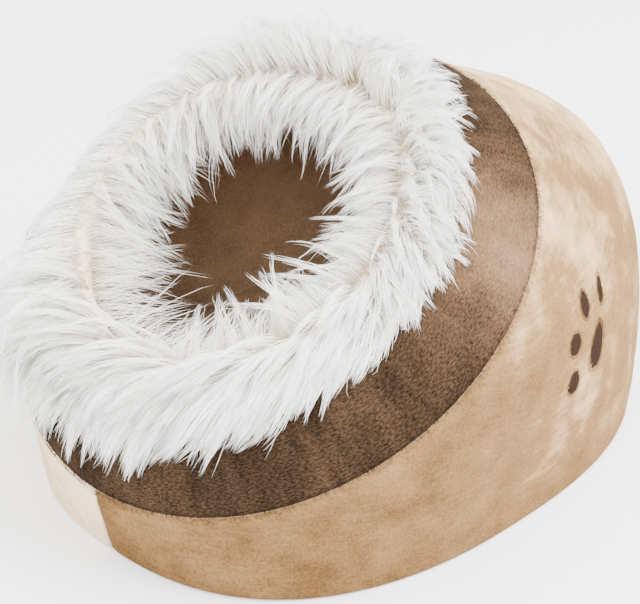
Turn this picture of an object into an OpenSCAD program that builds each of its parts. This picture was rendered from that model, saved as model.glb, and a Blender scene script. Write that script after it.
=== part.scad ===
// Igloo-shaped cushion bed for a small pet: an oval foam base, a domed plush wall,
// a tilted round hood with a long-pile trim around its mouth, and a loose cushion.
// Millimetres. X is the width, Y the depth with the mouth towards -Y, Z is up, Z 0 is the floor.

/* [Body] */
// half the width of the foot outline
foot_half_w = 157; // [150:1:164]
// half the depth of the foot outline
foot_half_d = 199.5; // [190:0.5:206]
// squareness of the oval outlines, 2 is a plain ellipse
oval_power = 2.45; // [2.3:0.05:2.6]
// outward lean of the wall at the foot in front, degrees
lean_front = 10.5; // [6:0.5:14]
// outward lean of the wall at the foot at the sides, degrees
lean_side = 5; // [2:0.5:8]
// outward lean of the wall at the foot at the back, degrees
lean_back = 1.2; // [0:0.2:6]

/* [Hood] */
// radius of the round seam between wall and hood
seam_r = 171; // [167:0.5:175]
// where the centre of the seam lies along the depth
seam_y = -64; // [-67:0.5:-61]
// height of the centre of the seam
seam_z = 141.6; // [138:0.2:145]
// tilt of the seam towards the front, degrees
hood_tilt = 32.3; // [30:0.1:34]
// radius of the ball that the hood follows
hood_ball_r = 212.1; // [208:0.1:216]
// angle on the ball where the hood turns over into the mouth, degrees
rim_angle = 33; // [32:0.1:34]
// angle on the ball where the trim strip is sewn on, degrees
strip_angle = 38.6; // [38:0.1:40]

/* [Layers] */
// thickness of the outer fabric
cover_t = 1.6; // [1:0.1:2]
// thickness of the foam panels
foam_t = 18.2; // [16:0.2:20]
// thickness of the inner fabric
lining_t = 1.4; // [1:0.1:2]
// thickness of the bottom panel
base_cover_t = 2; // [1.5:0.1:3]
// thickness of the foam slab in the base
base_foam_t = 15; // [12:1:17]
// radius of the sewing thread
thread_r = 0.4; // [0.3:0.02:0.42]

/* [Trim] */
// depth of the hair above its strip
pile_depth = 14; // [10:1:16]
// angle on the ball that the outer hair reaches, degrees
pile_reach = 47.5; // [45:0.5:49]

/* [Paw print] */
// where the middle of the large pad lies along the depth
paw_y = 54.5; // [51:0.5:57]
// height of the middle of the large pad
paw_z = 103; // [99:0.5:107]
// thickness of the embroidery
paw_t = 0.8; // [0.5:0.1:1.2]

/* [Cushion] */
// half the width of the cushion
cushion_half_w = 120; // [105:1:122]
// half the depth of the cushion
cushion_half_d = 157; // [140:1:158]
// thickness in the middle of the cushion
cushion_h = 42; // [34:1:44]

/* [Hidden] */
gap = 0.2;
base_top = base_cover_t + gap;
floor_z = base_top + base_foam_t + gap;
cushion_z = floor_z + lining_t + 0.4;
// how the wall meets the seam, in front, at the side and at the back: degrees above the seam's plane
seam_turn = [66, 86.5, 63.5];
// how far the wall keeps its foot direction, as a share of its height, in the same three places
foot_pull = [0.45, 0.36, 0.84];
// how far it keeps its direction at the seam
seam_pull = 0.5;
ball_h = -sqrt(hood_ball_r * hood_ball_r - seam_r * seam_r);
seam_angle = asin(seam_r / hood_ball_r);
foam_out = cover_t + 0.2;
foam_in = foam_out + foam_t;
lining_out = foam_in + 0.2;
lining_in = lining_out + lining_t;
mid_ball_r = hood_ball_r - (foam_out + foam_in) / 2;
rim_r = foam_t / 2;
rim_c = [mid_ball_r * sin(rim_angle), ball_h + mid_ball_r * cos(rim_angle)];
strip_in = hood_ball_r - lining_in;
tilt_up = [0, cos(hood_tilt), sin(hood_tilt)];
tilt_n = [0, -sin(hood_tilt), cos(hood_tilt)];
seam_c = [0, seam_y, seam_z];

beige = [0.86, 0.79, 0.70];
brown = [0.52, 0.41, 0.32];
dark_brown = [0.33, 0.25, 0.18];
foam_white = [0.93, 0.92, 0.86];
ivory = [0.93, 0.91, 0.87];
tan_knit = [0.80, 0.71, 0.60];

// ---------- small helpers ----------
function unit(v) = v / norm(v);
function signed_pow(v, p) = sign(v) * pow(abs(v), p);
function smooth(v) = let (w = max(0, min(1, v))) w * w * (3 - 2 * w);
// a value that changes from front to side to back with the sine of the angle
function around(s, front, side, back) = s < 0 ? front * s * s + side * (1 - s * s)
  : back * s * s + side * (1 - s * s);
function oval(a, b, f) = [a * signed_pow(cos(f), 2 / oval_power),
  b * signed_pow(sin(f), 2 / oval_power)];
// outward normal of the oval at its angle f
function oval_normal(a, b, f) = unit([signed_pow(cos(f), 2 - 2 / oval_power) / a,
  signed_pow(sin(f), 2 - 2 / oval_power) / b]);
function inset_oval(a, b, inset, n = 96) = [for (i = [0 : n - 1]) let (f = 360 * (i + 0.5) / n)
  oval(a, b, f) - inset * oval_normal(a, b, f)];

// ---------- the wall as a surface: f goes round, t goes from the foot to the seam ----------
function foot_point(f) = let (p = oval(foot_half_w, foot_half_d, f)) [p[0], p[1], base_top];
function seam_radial(f) = cos(f) * [1, 0, 0] + sin(f) * tilt_up;
function seam_point(f) = seam_c + seam_r * seam_radial(f);
function foot_tangent(f) = let (
  out = unit([cos(f) / foot_half_w, sin(f) / foot_half_d, 0]),
  lean = around(sin(f), lean_front, lean_side, lean_back)) out * sin(lean) + [0, 0, cos(lean)];
function seam_tangent(f) = let (turn = around(sin(f), seam_turn[0], seam_turn[1], seam_turn[2]))
  tilt_n * sin(turn) - seam_radial(f) * cos(turn);
function wall_point(f, t) = let (
  a = foot_point(f), d = seam_point(f), reach = norm(d - a),
  b = a + foot_tangent(f) * around(sin(f), foot_pull[0], foot_pull[1], foot_pull[2]) * reach,
  c = d - seam_tangent(f) * seam_pull * reach, s = 1 - t)
  s * s * s * a + 3 * s * s * t * b + 3 * s * t * t * c + t * t * t * d;
// direction that the layers are stacked in: level at the foot, along the ball's radius at the seam
function ball_radial(f) = sin(seam_angle) * seam_radial(f) + cos(seam_angle) * tilt_n;
function wall_normal(f, t) = let (
  t0 = max(0, t - 0.01), t1 = min(1, t + 0.01),
  up = wall_point(f, t1) - wall_point(f, t0),
  side = wall_point(f + 0.5, t) - wall_point(f - 0.5, t),
  n = unit(cross(side, up)), low = smooth(t / 0.12), top = smooth((t - 0.65) / 0.35),
  level = unit([n[0], n[1], n[2] * low]))
  unit(level * (1 - top) + ball_radial(f) * top);
// point at a depth under the outer face, raised or lowered along the wall by trim
function layer_point(f, t, depth, trim = 0) =
  wall_point(f, t) - wall_normal(f, t) * depth
  + (t == 0 ? foot_tangent(f) : -seam_tangent(f)) * trim;

// ---------- meshes on grids ----------
function quad(a, b, c, d) = [[a, b, c], [a, c, d]];
// closed slab between two equal grids of nu + 1 by nv + 1 points
function slab_faces(nu, nv) = let (w = nv + 1, n = (nu + 1) * w) [
  for (i = [0 : nu - 1], j = [0 : nv - 1], s = [0, 1], q = s == 0
    ? quad(i * w + j, i * w + j + 1, (i + 1) * w + j + 1, (i + 1) * w + j)
    : quad(n + i * w + j, n + (i + 1) * w + j, n + (i + 1) * w + j + 1, n + i * w + j + 1)) q,
  for (i = [0 : nu - 1], q = quad(i * w, (i + 1) * w, n + (i + 1) * w, n + i * w)) q,
  for (i = [0 : nu - 1], q = quad(i * w + nv, n + i * w + nv, n + (i + 1) * w + nv, (i + 1) * w + nv)) q,
  for (j = [0 : nv - 1], q = quad(j, n + j, n + j + 1, j + 1)) q,
  for (j = [0 : nv - 1], q = quad(nu * w + j, nu * w + j + 1, n + nu * w + j + 1, n + nu * w + j)) q];
module slab(outer, inner) {
  nu = len(outer) - 1;
  nv = len(outer[0]) - 1;
  polyhedron(points = [for (g = [outer, inner], row = g, p = row) p], faces = slab_faces(nu, nv));
}
// closed skin of revolution-like rings, each ring a list of points, capped at both ends
module rings(list) {
  m = len(list[0]);
  k = len(list);
  polyhedron(points = [for (r = list, p = r) p], faces = [
    for (i = [0 : k - 2], j = [0 : m - 1], q = quad(i * m + j, (i + 1) * m + j,
      (i + 1) * m + (j + 1) % m, i * m + (j + 1) % m)) q,
    [for (j = [0 : m - 1]) j],
    [for (j = [m - 1 : -1 : 0]) (k - 1) * m + j]]);
}
// closed loop of a round section: list of sections, the last joins the first
module loop_tube(list) {
  m = len(list[0]);
  k = len(list);
  polyhedron(points = [for (r = list, p = r) p], faces = [
    for (i = [0 : k - 1], j = [0 : m - 1], q = quad(i * m + j, ((i + 1) % k) * m + j,
      ((i + 1) % k) * m + (j + 1) % m, i * m + (j + 1) % m)) q]);
}

// ---------- the wall ----------
wall_steps = 36;
wall_rows = 12;
// angle across the right half, with both ends drawn back by an edge angle; closer steps at the ends
function half_angle(i, edge) = let (w = 2 * i / wall_steps - 1)
  (90 - edge) * (0.65 * w + 0.35 * sin(90 * w));
module wall_layer(near, far, edge, foot_trim = 0, seam_trim = 0.1) {
  outer = [for (i = [0 : wall_steps]) [for (j = [0 : wall_rows]) let (t = j / wall_rows)
    layer_point(half_angle(i, edge), t, near, j == 0 ? foot_trim : j == wall_rows ? seam_trim : 0)]];
  inner = [for (i = [0 : wall_steps]) [for (j = [0 : wall_rows]) let (t = j / wall_rows)
    layer_point(half_angle(i, edge), t, far, j == 0 ? foot_trim : j == wall_rows ? seam_trim : 0)]];
  slab(outer, inner);
}
module left_side() { mirror([1, 0, 0]) children(); }

module wall_cover_right() { color(beige) wall_layer(0, cover_t, 0.24, 1.3, 0.75); }
module wall_cover_left() { color(beige) left_side() wall_layer(0, cover_t, 0.24, 1.3, 0.75); }
module wall_foam_right() { color(foam_white) wall_layer(foam_out, foam_in, 0.05); }
module wall_foam_left() { color(foam_white) left_side() wall_layer(foam_out, foam_in, 0.05); }
module wall_lining_right() { color(brown) wall_layer(lining_out, lining_in, 0.05); }
module wall_lining_left() { color(brown) left_side() wall_layer(lining_out, lining_in, 0.05); }

// ---------- the base ----------
module base_cover() {
  color(dark_brown) linear_extrude(height = base_cover_t)
    polygon(inset_oval(foot_half_w, foot_half_d, 0));
}
module base_foam() {
  color(foam_white) translate([0, 0, base_top]) linear_extrude(height = base_foam_t)
    polygon(inset_oval(foot_half_w, foot_half_d, lining_in + 0.4));
}
module floor_lining() {
  color(brown) translate([0, 0, floor_z]) linear_extrude(height = lining_t)
    polygon(inset_oval(foot_half_w, foot_half_d, lining_in + 0.4));
}

// ---------- the hood, turned about the axis of its round seam ----------
module hood_frame() { translate(seam_c) rotate([hood_tilt, 0, 0]) children(); }
// points of an arc about the ball's centre, angles from the axis
function arc(r, from, to, n = 12) = [for (i = [0 : n]) let (a = from + (to - from) * i / n)
  [r * sin(a), ball_h + r * cos(a)]];
// points round the rolled rim, 0 is the outer side and 180 the inner side
function rim_point(r, a) = rim_c + r * (cos(a) * [sin(rim_angle), cos(rim_angle)]
  + sin(a) * [-cos(rim_angle), sin(rim_angle)]);
function rim_arc(r, from, to, n = 12) = [for (i = [0 : n]) rim_point(r, from + (to - from) * i / n)];
module turned(points) { hood_frame() rotate_extrude($fn = 96) polygon(points); }

module hood_cover() {
  color(brown) turned(concat(
    arc(hood_ball_r, seam_angle - 0.28, strip_angle + 0.3),
    arc(hood_ball_r - cover_t, strip_angle + 0.3, seam_angle - 0.28)));
}
module hood_foam() {
  color(foam_white) turned(concat(
    arc(hood_ball_r - foam_out, seam_angle - 0.08, rim_angle + 0.2),
    rim_arc(rim_r, 3, 177),
    arc(hood_ball_r - foam_in, rim_angle + 0.2, seam_angle - 0.08)));
}
module hood_lining() {
  color(brown) turned(concat(
    arc(hood_ball_r - lining_out, seam_angle - 0.08, strip_angle + 0.3),
    arc(hood_ball_r - lining_in, strip_angle + 0.3, seam_angle - 0.08)));
}
module fur_backing() {
  color(tan_knit) turned(concat(
    arc(hood_ball_r, strip_angle - 0.3, rim_angle + 0.2, 6),
    rim_arc(rim_r + foam_out, 3, 177),
    arc(strip_in, rim_angle + 0.2, strip_angle - 0.3, 6),
    arc(strip_in + lining_t, strip_angle - 0.3, rim_angle + 0.2, 6),
    rim_arc(rim_r + 0.2, 177, 3),
    arc(hood_ball_r - cover_t, rim_angle + 0.2, strip_angle - 0.3, 6)));
}
// depth of the outer hair along the ball, from the rim to its tips
function pile_at(a) = let (w = (a - rim_angle) / (pile_reach - rim_angle))
  1 + (pile_depth - 1) * (1 - w) * (1 + 1.5 * w);
module fur_pile_outer() {
  color(ivory) turned(concat(
    [for (i = [0 : 14]) let (a = pile_reach + (rim_angle - pile_reach) * i / 14)
      [(hood_ball_r + pile_at(a)) * sin(a), ball_h + (hood_ball_r + pile_at(a)) * cos(a)]],
    [for (a = [8 : 8 : 40]) rim_point(rim_r + foam_out + pile_depth - a * 0.05, a)],
    rim_arc(rim_r + foam_out + 0.3, 40, 3, 4),
    arc(hood_ball_r + 0.3, rim_angle + 0.2, pile_reach)));
}
// outline of the inner hair about the rim: radius and angle, from the crest to the strip's inner edge
inner_hair = [[rim_r + foam_out + pile_depth - 2.2, 42], [rim_r + foam_out + pile_depth - 1, 56],
  [rim_r + foam_out + pile_depth + 1, 74], [31, 92], [35, 110], [34, 119], [26, 132], [19, 146], [14, 158]];
module fur_pile_inner() {
  color(ivory) turned(concat(
    [for (q = inner_hair) rim_point(q[0], q[1])],
    rim_arc(rim_r + foam_out + 0.3, 166, 42, 14)));
}

// ---------- the print: flat patches laid on the right wall ----------
// solve for the place on the wall that has a given depth and height
function on_wall(y, z, f = 15, t = 0.6, n = 7) = let (
  p = wall_point(f, t),
  pf = (wall_point(f + 0.5, t) - p) / 0.5, pt = (wall_point(f, t + 0.01) - p) / 0.01,
  dy = y - p[1], dz = z - p[2], det = pf[1] * pt[2] - pf[2] * pt[1],
  df = (dy * pt[2] - dz * pt[1]) / det, dt = (pf[1] * dz - pf[2] * dy) / det)
  n == 0 ? [f, t] : on_wall(y, z, f + df, t + dt, n - 1);
// outline of a pad: half length, half width, how much narrower the pointed end is, turn in degrees
function pad_outline(c, half_l, half_w, taper, turn, grow, n = 20) = [for (i = [0 : n - 1])
  let (a = 360 * i / n, l = half_l * grow * cos(a), w = half_w * grow * sin(a) * (1 - taper * cos(a)))
  [c[0] + l * cos(turn) - w * sin(turn), c[1] + l * sin(turn) + w * cos(turn)]];
module pad(c, half_l, half_w, taper, turn) {
  levels = [[0.05, 0.12], [0.5, 0.12], [1, 0.12], [1, 0.12 + paw_t / 2], [0.93, 0.12 + paw_t],
    [0.5, 0.12 + paw_t], [0.05, 0.12 + paw_t]];
  rings([for (lv = levels) [for (q = pad_outline(c, half_l, half_w, taper, turn, lv[0]))
    let (g = on_wall(q[0], q[1])) layer_point(g[0], g[1], -lv[1])]]);
}
module paw_palm() { color(dark_brown) pad([paw_y, paw_z], 15.8, 9, 0.28, 69); }
module paw_toe_1() { color(dark_brown) pad([paw_y + 11.5, paw_z + 30.5], 9.6, 4.2, 0.1, 84); }
module paw_toe_2() { color(dark_brown) pad([paw_y - 10.5, paw_z + 31], 9.6, 5.8, 0.1, 96); }
module paw_toe_3() { color(dark_brown) pad([paw_y - 26.5, paw_z + 13.5], 8, 7.6, 0.05, 110); }
module paw_toe_4() { color(dark_brown) pad([paw_y - 28.5, paw_z - 11.5], 8.6, 7, 0.05, 80); }

// ---------- the loose cushion ----------
cushion_mid = cushion_z + cushion_h / 2;
// ring of the cushion's outline, s is the share of its half sizes and h the height above its middle
function cushion_ring(s, h, n = 64) = [for (i = [0 : n - 1]) let (
  p = oval(cushion_half_w * s, cushion_half_d * s, 360 * (i + 0.5) / n)) [p[0], p[1], cushion_mid + h]];
function puff(s) = (cushion_h / 2 - 0.6) * pow(max(0, 1 - pow(s, 2.6)), 0.55);
shares = [0.04, 0.35, 0.6, 0.78, 0.9, 0.96, 0.985];
module cushion_top() { color(brown) cushion_half(1); }
module cushion_bottom() { color(brown) cushion_half(-1); }
// one face of the cushion as a shell between two domes
module cushion_half(up) {
  n = 64;
  k = len(shares);
  outer = [for (s = shares) cushion_ring(s, up * (0.6 + puff(s)), n)];
  inner = [for (s = shares) cushion_ring(s * 0.985, up * max(0.7, puff(s) - 0.9), n)];
  pts = [for (r = outer, p = r) p, for (r = inner, p = r) p,
    for (p = cushion_ring(1, up * 0.6, n)) p];
  q = k * n;
  e = 2 * k * n;
  tris = concat(
    [for (i = [0 : k - 2], j = [0 : n - 1], f = quad(i * n + j, i * n + (j + 1) % n,
      (i + 1) * n + (j + 1) % n, (i + 1) * n + j)) f],
    [for (j = [0 : n - 1], f = quad((k - 1) * n + j, (k - 1) * n + (j + 1) % n,
      e + (j + 1) % n, e + j)) f],
    [for (j = [0 : n - 1], f = quad(e + j, e + (j + 1) % n,
      q + (k - 1) * n + (j + 1) % n, q + (k - 1) * n + j)) f],
    [for (i = [0 : k - 2], j = [0 : n - 1], f = quad(q + (i + 1) * n + j, q + (i + 1) * n + (j + 1) % n,
      q + i * n + (j + 1) % n, q + i * n + j)) f],
    [[for (j = [n - 1 : -1 : 0]) j]],
    [[for (j = [0 : n - 1]) q + j]]);
  polyhedron(points = pts,
    faces = up < 0 ? tris : [for (f = tris) [for (i = [len(f) - 1 : -1 : 0]) f[i]]]);
}
module cushion_filling() {
  k = len(shares) - 1;
  color(foam_white) rings(concat(
    [for (i = [0 : k]) cushion_ring(shares[i] * 0.965, -max(0.3, puff(shares[i]) - 1.6))],
    [for (i = [k : -1 : 0]) cushion_ring(shares[i] * 0.965, max(0.3, puff(shares[i]) - 1.6))]));
}

// ---------- threads ----------
// a four-sided loop along a path of points; ends meet
module thread_loop(path) {
  n = len(path);
  loop_tube([for (i = [0 : n - 1]) let (
    d = unit(path[(i + 1) % n] - path[(i + n - 1) % n]), a = unit(cross([0, 0, 1], d)), b = cross(d, a))
    [for (k = [0 : 3]) path[i] + thread_r * (cos(90 * k) * a + sin(90 * k) * b)]]);
}
module thread_run(path) {
  n = len(path);
  rings([for (i = [0 : n - 1]) let (
    d = unit(path[min(n - 1, i + 1)] - path[max(0, i - 1)]), a = [1, 0, 0], b = cross(d, a))
    [for (k = [0 : 3]) path[i] + thread_r * (cos(90 * k) * a + sin(90 * k) * b)]]);
}
module base_seam() {
  color(beige) thread_loop([for (i = [0 : 79]) let (f = 360 * (i + 0.5) / 80)
    layer_point(f, 0, cover_t / 2, thread_r + 0.15)]);
}
// a thread that runs round the hood at a radius and an angle on the ball
module hood_thread(r, a) {
  hood_frame() rotate_extrude($fn = 96)
    translate([r * sin(a), ball_h + r * cos(a)]) circle(r = thread_r, $fn = 16);
}
module hood_seam() { color(dark_brown) hood_thread(hood_ball_r - 0.85, seam_angle - 0.02); }
module rim_seam_outer() { color(tan_knit) hood_thread(hood_ball_r - cover_t / 2, strip_angle); }
module rim_seam_inner() { color(tan_knit) hood_thread(strip_in + lining_t / 2, strip_angle); }
module front_seam() {
  color(beige) thread_run([for (j = [1 : 11]) layer_point(-90, j / 12, cover_t / 2)]);
}
module rear_seam() {
  color(beige) thread_run([for (j = [1 : 23]) layer_point(90, j / 24, cover_t / 2)]);
}
module cushion_seam() { color(dark_brown) thread_loop(cushion_ring(0.995, 0, 72)); }

base_cover();
base_foam();
floor_lining();
wall_cover_left();
wall_cover_right();
wall_foam_left();
wall_foam_right();
wall_lining_left();
wall_lining_right();
hood_cover();
hood_foam();
hood_lining();
fur_backing();
fur_pile_outer();
fur_pile_inner();
paw_palm();
paw_toe_1();
paw_toe_2();
paw_toe_3();
paw_toe_4();
cushion_top();
cushion_bottom();
cushion_filling();
base_seam();
hood_seam();
rim_seam_outer();
rim_seam_inner();
front_seam();
rear_seam();
cushion_seam();
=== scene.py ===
"""Looks of an igloo-shaped cushion bed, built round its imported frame.

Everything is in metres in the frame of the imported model: X is the width, the mouth looks towards -Y,
Z is up and the floor is at Z 0. Each sub-assembly is a class that builds its own pieces, and each
finish is a small class that makes one procedural material.
"""

from __future__ import annotations

import logging
import math
from collections.abc import Callable, Sequence
from dataclasses import dataclass, field
from enum import Enum
from typing import ClassVar

import bmesh
import bpy
import numpy as np
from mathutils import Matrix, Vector, noise


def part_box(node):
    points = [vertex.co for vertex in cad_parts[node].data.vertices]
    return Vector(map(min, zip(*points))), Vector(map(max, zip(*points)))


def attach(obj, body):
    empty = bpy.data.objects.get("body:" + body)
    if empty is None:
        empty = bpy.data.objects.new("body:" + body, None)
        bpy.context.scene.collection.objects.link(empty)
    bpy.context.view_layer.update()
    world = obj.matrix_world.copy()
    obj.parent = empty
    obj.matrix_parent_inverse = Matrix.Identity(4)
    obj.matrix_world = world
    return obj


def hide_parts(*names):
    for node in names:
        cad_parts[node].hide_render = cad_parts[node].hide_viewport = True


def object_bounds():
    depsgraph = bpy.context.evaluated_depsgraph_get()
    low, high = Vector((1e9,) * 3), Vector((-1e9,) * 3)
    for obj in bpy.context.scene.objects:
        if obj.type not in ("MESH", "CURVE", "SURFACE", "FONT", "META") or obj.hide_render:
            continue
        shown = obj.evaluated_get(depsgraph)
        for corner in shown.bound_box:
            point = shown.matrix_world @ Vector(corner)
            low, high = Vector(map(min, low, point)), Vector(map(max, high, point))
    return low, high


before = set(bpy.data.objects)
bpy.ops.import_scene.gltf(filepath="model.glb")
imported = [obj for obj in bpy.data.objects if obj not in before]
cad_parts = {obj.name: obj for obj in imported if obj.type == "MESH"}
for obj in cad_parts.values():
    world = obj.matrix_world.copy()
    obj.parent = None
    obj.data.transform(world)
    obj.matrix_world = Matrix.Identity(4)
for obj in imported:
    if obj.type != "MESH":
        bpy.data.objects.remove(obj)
CAD_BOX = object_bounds()

LOG = logging.getLogger("bed")
MM = 0.001
CAVE = "cave"
CUSHION = "cushion"
FIBRE_MAP = "OFBake"
Array = np.ndarray
Triple = tuple[float, float, float]
Colour = Triple
WORLD_X = np.array([1.0, 0.0, 0.0])
WORLD_Z = np.array([0.0, 0.0, 1.0])


# ---------------------------------------------------------------- numbers


def unit(v: Array) -> Array:
    """Vectors of length one along the last axis."""
    return v / np.maximum(np.linalg.norm(v, axis=-1, keepdims=True), 1e-12)


def smooth(v: Array | float) -> Array:
    """A soft step from 0 at 0 to 1 at 1."""
    w = np.clip(v, 0.0, 1.0)
    return w * w * (3.0 - 2.0 * w)


def bell(distance: Array, width: float) -> Array:
    """A bump that is 1 at distance 0 and fades out over a width."""
    return np.exp(-((distance / width) ** 2))


def signed_power(v: Array, power: float) -> Array:
    """A power that keeps the sign."""
    return np.sign(v) * np.abs(v) ** power


def soft_noise(points: Array, scale: float, seed: float = 0.0) -> Array:
    """Smooth noise at points in space.

    Args:
        points: places in metres, one row each.
        scale: features per metre.
        seed: moves the pattern, so that two uses differ.

    Returns:
        One value a point, mostly between -1 and 1.
    """
    shift = Vector((seed * 7.3, seed * 3.1, seed * 5.7))
    return np.array([noise.noise(Vector(p) * scale + shift) for p in points])


# ---------------------------------------------------------------- the bed's shape


@dataclass(frozen=True)
class BedShape:
    """The bed's surfaces as formulas, with the same driving sizes as the frame."""

    foot_half_w: float = 157.0 * MM
    foot_half_d: float = 199.5 * MM
    oval_power: float = 2.45
    foot_lean: Triple = (10.5, 5.0, 1.2)
    seam_turn: Triple = (66.0, 86.5, 63.5)
    foot_pull: Triple = (0.45, 0.36, 0.84)
    seam_pull: float = 0.5
    seam_r: float = 171.0 * MM
    seam_y: float = -64.0 * MM
    seam_z: float = 141.6 * MM
    hood_tilt: float = 32.3
    ball_r: float = 212.1 * MM
    rim_angle: float = 33.0
    strip_angle: float = 38.6
    base_top: float = 2.2 * MM
    foam_out: float = 1.8 * MM
    foam_in: float = 20.0 * MM
    lining_in: float = 21.6 * MM

    @property
    def up_slope(self) -> Array:
        """Direction up the slope of the seam's plane, towards the back."""
        tilt = math.radians(self.hood_tilt)
        return np.array([0.0, math.cos(tilt), math.sin(tilt)])

    @property
    def out_of_mouth(self) -> Array:
        """Direction out of the mouth, square to the seam's plane."""
        tilt = math.radians(self.hood_tilt)
        return np.array([0.0, -math.sin(tilt), math.cos(tilt)])

    @property
    def seam_centre(self) -> Array:
        """Middle of the round seam."""
        return np.array([0.0, self.seam_y, self.seam_z])

    @property
    def ball_h(self) -> float:
        """Height of the hood's ball centre over the seam's plane, below it."""
        return -math.sqrt(self.ball_r**2 - self.seam_r**2)

    @property
    def ball_centre(self) -> Array:
        """Centre of the ball that the hood follows."""
        return self.seam_centre + self.ball_h * self.out_of_mouth

    @property
    def seam_angle(self) -> float:
        """Angle on the ball at the seam, in degrees."""
        return math.degrees(math.asin(self.seam_r / self.ball_r))

    @property
    def rim_centre(self) -> tuple[float, float]:
        """Radius and height of the middle of the rolled rim.

        Returns:
            The radius, and the height over the seam's plane.
        """
        middle = self.ball_r - (self.foam_out + self.foam_in) / 2
        angle = math.radians(self.rim_angle)
        return middle * math.sin(angle), self.ball_h + middle * math.cos(angle)

    @property
    def rim_outer_r(self) -> float:
        """Radius of the rolled rim's section, fabric included."""
        return (self.foam_in - self.foam_out) / 2 + self.foam_out

    @staticmethod
    def around(turn: Array, values: Triple) -> Array:
        """A value that changes smoothly from front to side to back.

        Args:
            turn: angles round the bed in radians, with the front at -90 degrees.
            values: the value in front, at the side and at the back.

        Returns:
            One value an angle.
        """
        s = np.sin(turn)
        ends = np.where(s < 0, values[0], values[2])
        return ends * s * s + values[1] * (1 - s * s)

    def oval(self, half_w: float, half_d: float, turn: Array) -> Array:
        """Points of an oval outline on the floor, as rows of X and Y.

        Args:
            half_w: half the width.
            half_d: half the depth.
            turn: angles round the axis in radians.

        Returns:
            One row of X and Y an angle.
        """
        power = 2 / self.oval_power
        across = half_w * signed_power(np.cos(turn), power)
        return np.stack([across, half_d * signed_power(np.sin(turn), power)], axis=-1)

    def radial(self, turn: Array) -> Array:
        """Directions away from the mouth's axis, in the seam's plane."""
        return np.cos(turn)[..., None] * WORLD_X + np.sin(turn)[..., None] * self.up_slope

    def ring_point(self, turn: Array, r: Array | float, h: Array | float) -> Array:
        """Points given by the angle round the mouth's axis, the radius and the height over the seam.

        Args:
            turn: angles round the axis in radians.
            r: radii.
            h: heights over the seam.

        Returns:
            One row of X, Y and Z an angle.
        """
        r = np.broadcast_to(np.asarray(r, float), turn.shape)[..., None]
        h = np.broadcast_to(np.asarray(h, float), turn.shape)[..., None]
        return self.seam_centre + r * self.radial(turn) + h * self.out_of_mouth

    def wall_point(self, turn: Array, share: Array) -> Array:
        """Points of the wall's outer face.

        Args:
            turn: angles round the bed in radians.
            share: 0 at the foot and 1 at the round seam.

        Returns:
            One row of X, Y and Z a point.
        """
        flat = self.oval(self.foot_half_w, self.foot_half_d, turn)
        foot = np.concatenate([flat, np.full_like(flat[..., :1], self.base_top)], axis=-1)
        seam = self.ring_point(turn, self.seam_r, 0.0)
        reach = np.linalg.norm(seam - foot, axis=-1)[..., None]
        zero = np.zeros_like(turn)
        away = unit(np.stack([np.cos(turn) / self.foot_half_w, np.sin(turn) / self.foot_half_d, zero], -1))
        lean = np.radians(self.around(turn, self.foot_lean))[..., None]
        start = away * np.sin(lean) + WORLD_Z * np.cos(lean)
        tilt = np.radians(self.around(turn, self.seam_turn))[..., None]
        end = self.out_of_mouth * np.sin(tilt) - self.radial(turn) * np.cos(tilt)
        low = foot + start * self.around(turn, self.foot_pull)[..., None] * reach
        high = seam - end * self.seam_pull * reach
        t = np.asarray(share)[..., None]
        s = 1 - t
        return s**3 * foot + 3 * s * s * t * low + 3 * s * t * t * high + t**3 * seam

    def wall_reach(self, turn: Array) -> Array:
        """Rough length of the wall from foot to seam."""
        foot = self.wall_point(turn, np.zeros_like(turn))
        return np.linalg.norm(self.ring_point(turn, self.seam_r, 0.0) - foot, axis=-1)

    def wall_out(self, turn: Array, share: Array) -> Array:
        """Directions in which the wall's layers are stacked, pointing out of the bed.

        Args:
            turn: angles round the axis in radians.
            share: 0 at the foot and 1 at the round seam.

        Returns:
            One direction a point.
        """
        step = 0.01
        up = self.wall_point(turn, np.minimum(share + step, 1)) - self.wall_point(
            turn, np.maximum(share - step, 0)
        )
        side = self.wall_point(turn + step, share) - self.wall_point(turn - step, share)
        face = unit(np.cross(side, up))
        face[..., 2] *= smooth(share / 0.12)
        top = smooth((share - 0.65) / 0.35)[..., None]
        angle = math.radians(self.seam_angle)
        mitre = math.sin(angle) * self.radial(turn) + math.cos(angle) * self.out_of_mouth
        return unit(unit(face) * (1 - top) + mitre * top)

    def ball_point(self, turn: Array, angle: Array, r: Array | float) -> Array:
        """Points about the hood's ball: angle round the axis, angle on the ball in degrees, radius."""
        a = np.radians(angle)
        return self.ring_point(turn, r * np.sin(a), self.ball_h + r * np.cos(a))

    def on_wall(self, y: Array, z: Array) -> tuple[Array, Array]:
        """Finds where on the right wall a depth and a height lie.

        Args:
            y: depths in metres.
            z: heights in metres.

        Returns:
            The angles round the bed and the shares of the wall's rise.
        """
        turn = np.full_like(y, math.radians(18.0))
        share = np.full_like(y, 0.6)
        step = 0.004
        for _ in range(12):
            here = self.wall_point(turn, share)
            by_turn = (self.wall_point(turn + step, share) - here) / step
            by_share = (self.wall_point(turn, share + step) - here) / step
            dy, dz = y - here[:, 1], z - here[:, 2]
            det = by_turn[:, 1] * by_share[:, 2] - by_turn[:, 2] * by_share[:, 1]
            turn = turn + (dy * by_share[:, 2] - dz * by_share[:, 1]) / det
            share = share + (by_turn[:, 1] * dz - by_turn[:, 2] * dy) / det
        return turn, share


# ---------------------------------------------------------------- material nodes


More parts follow.
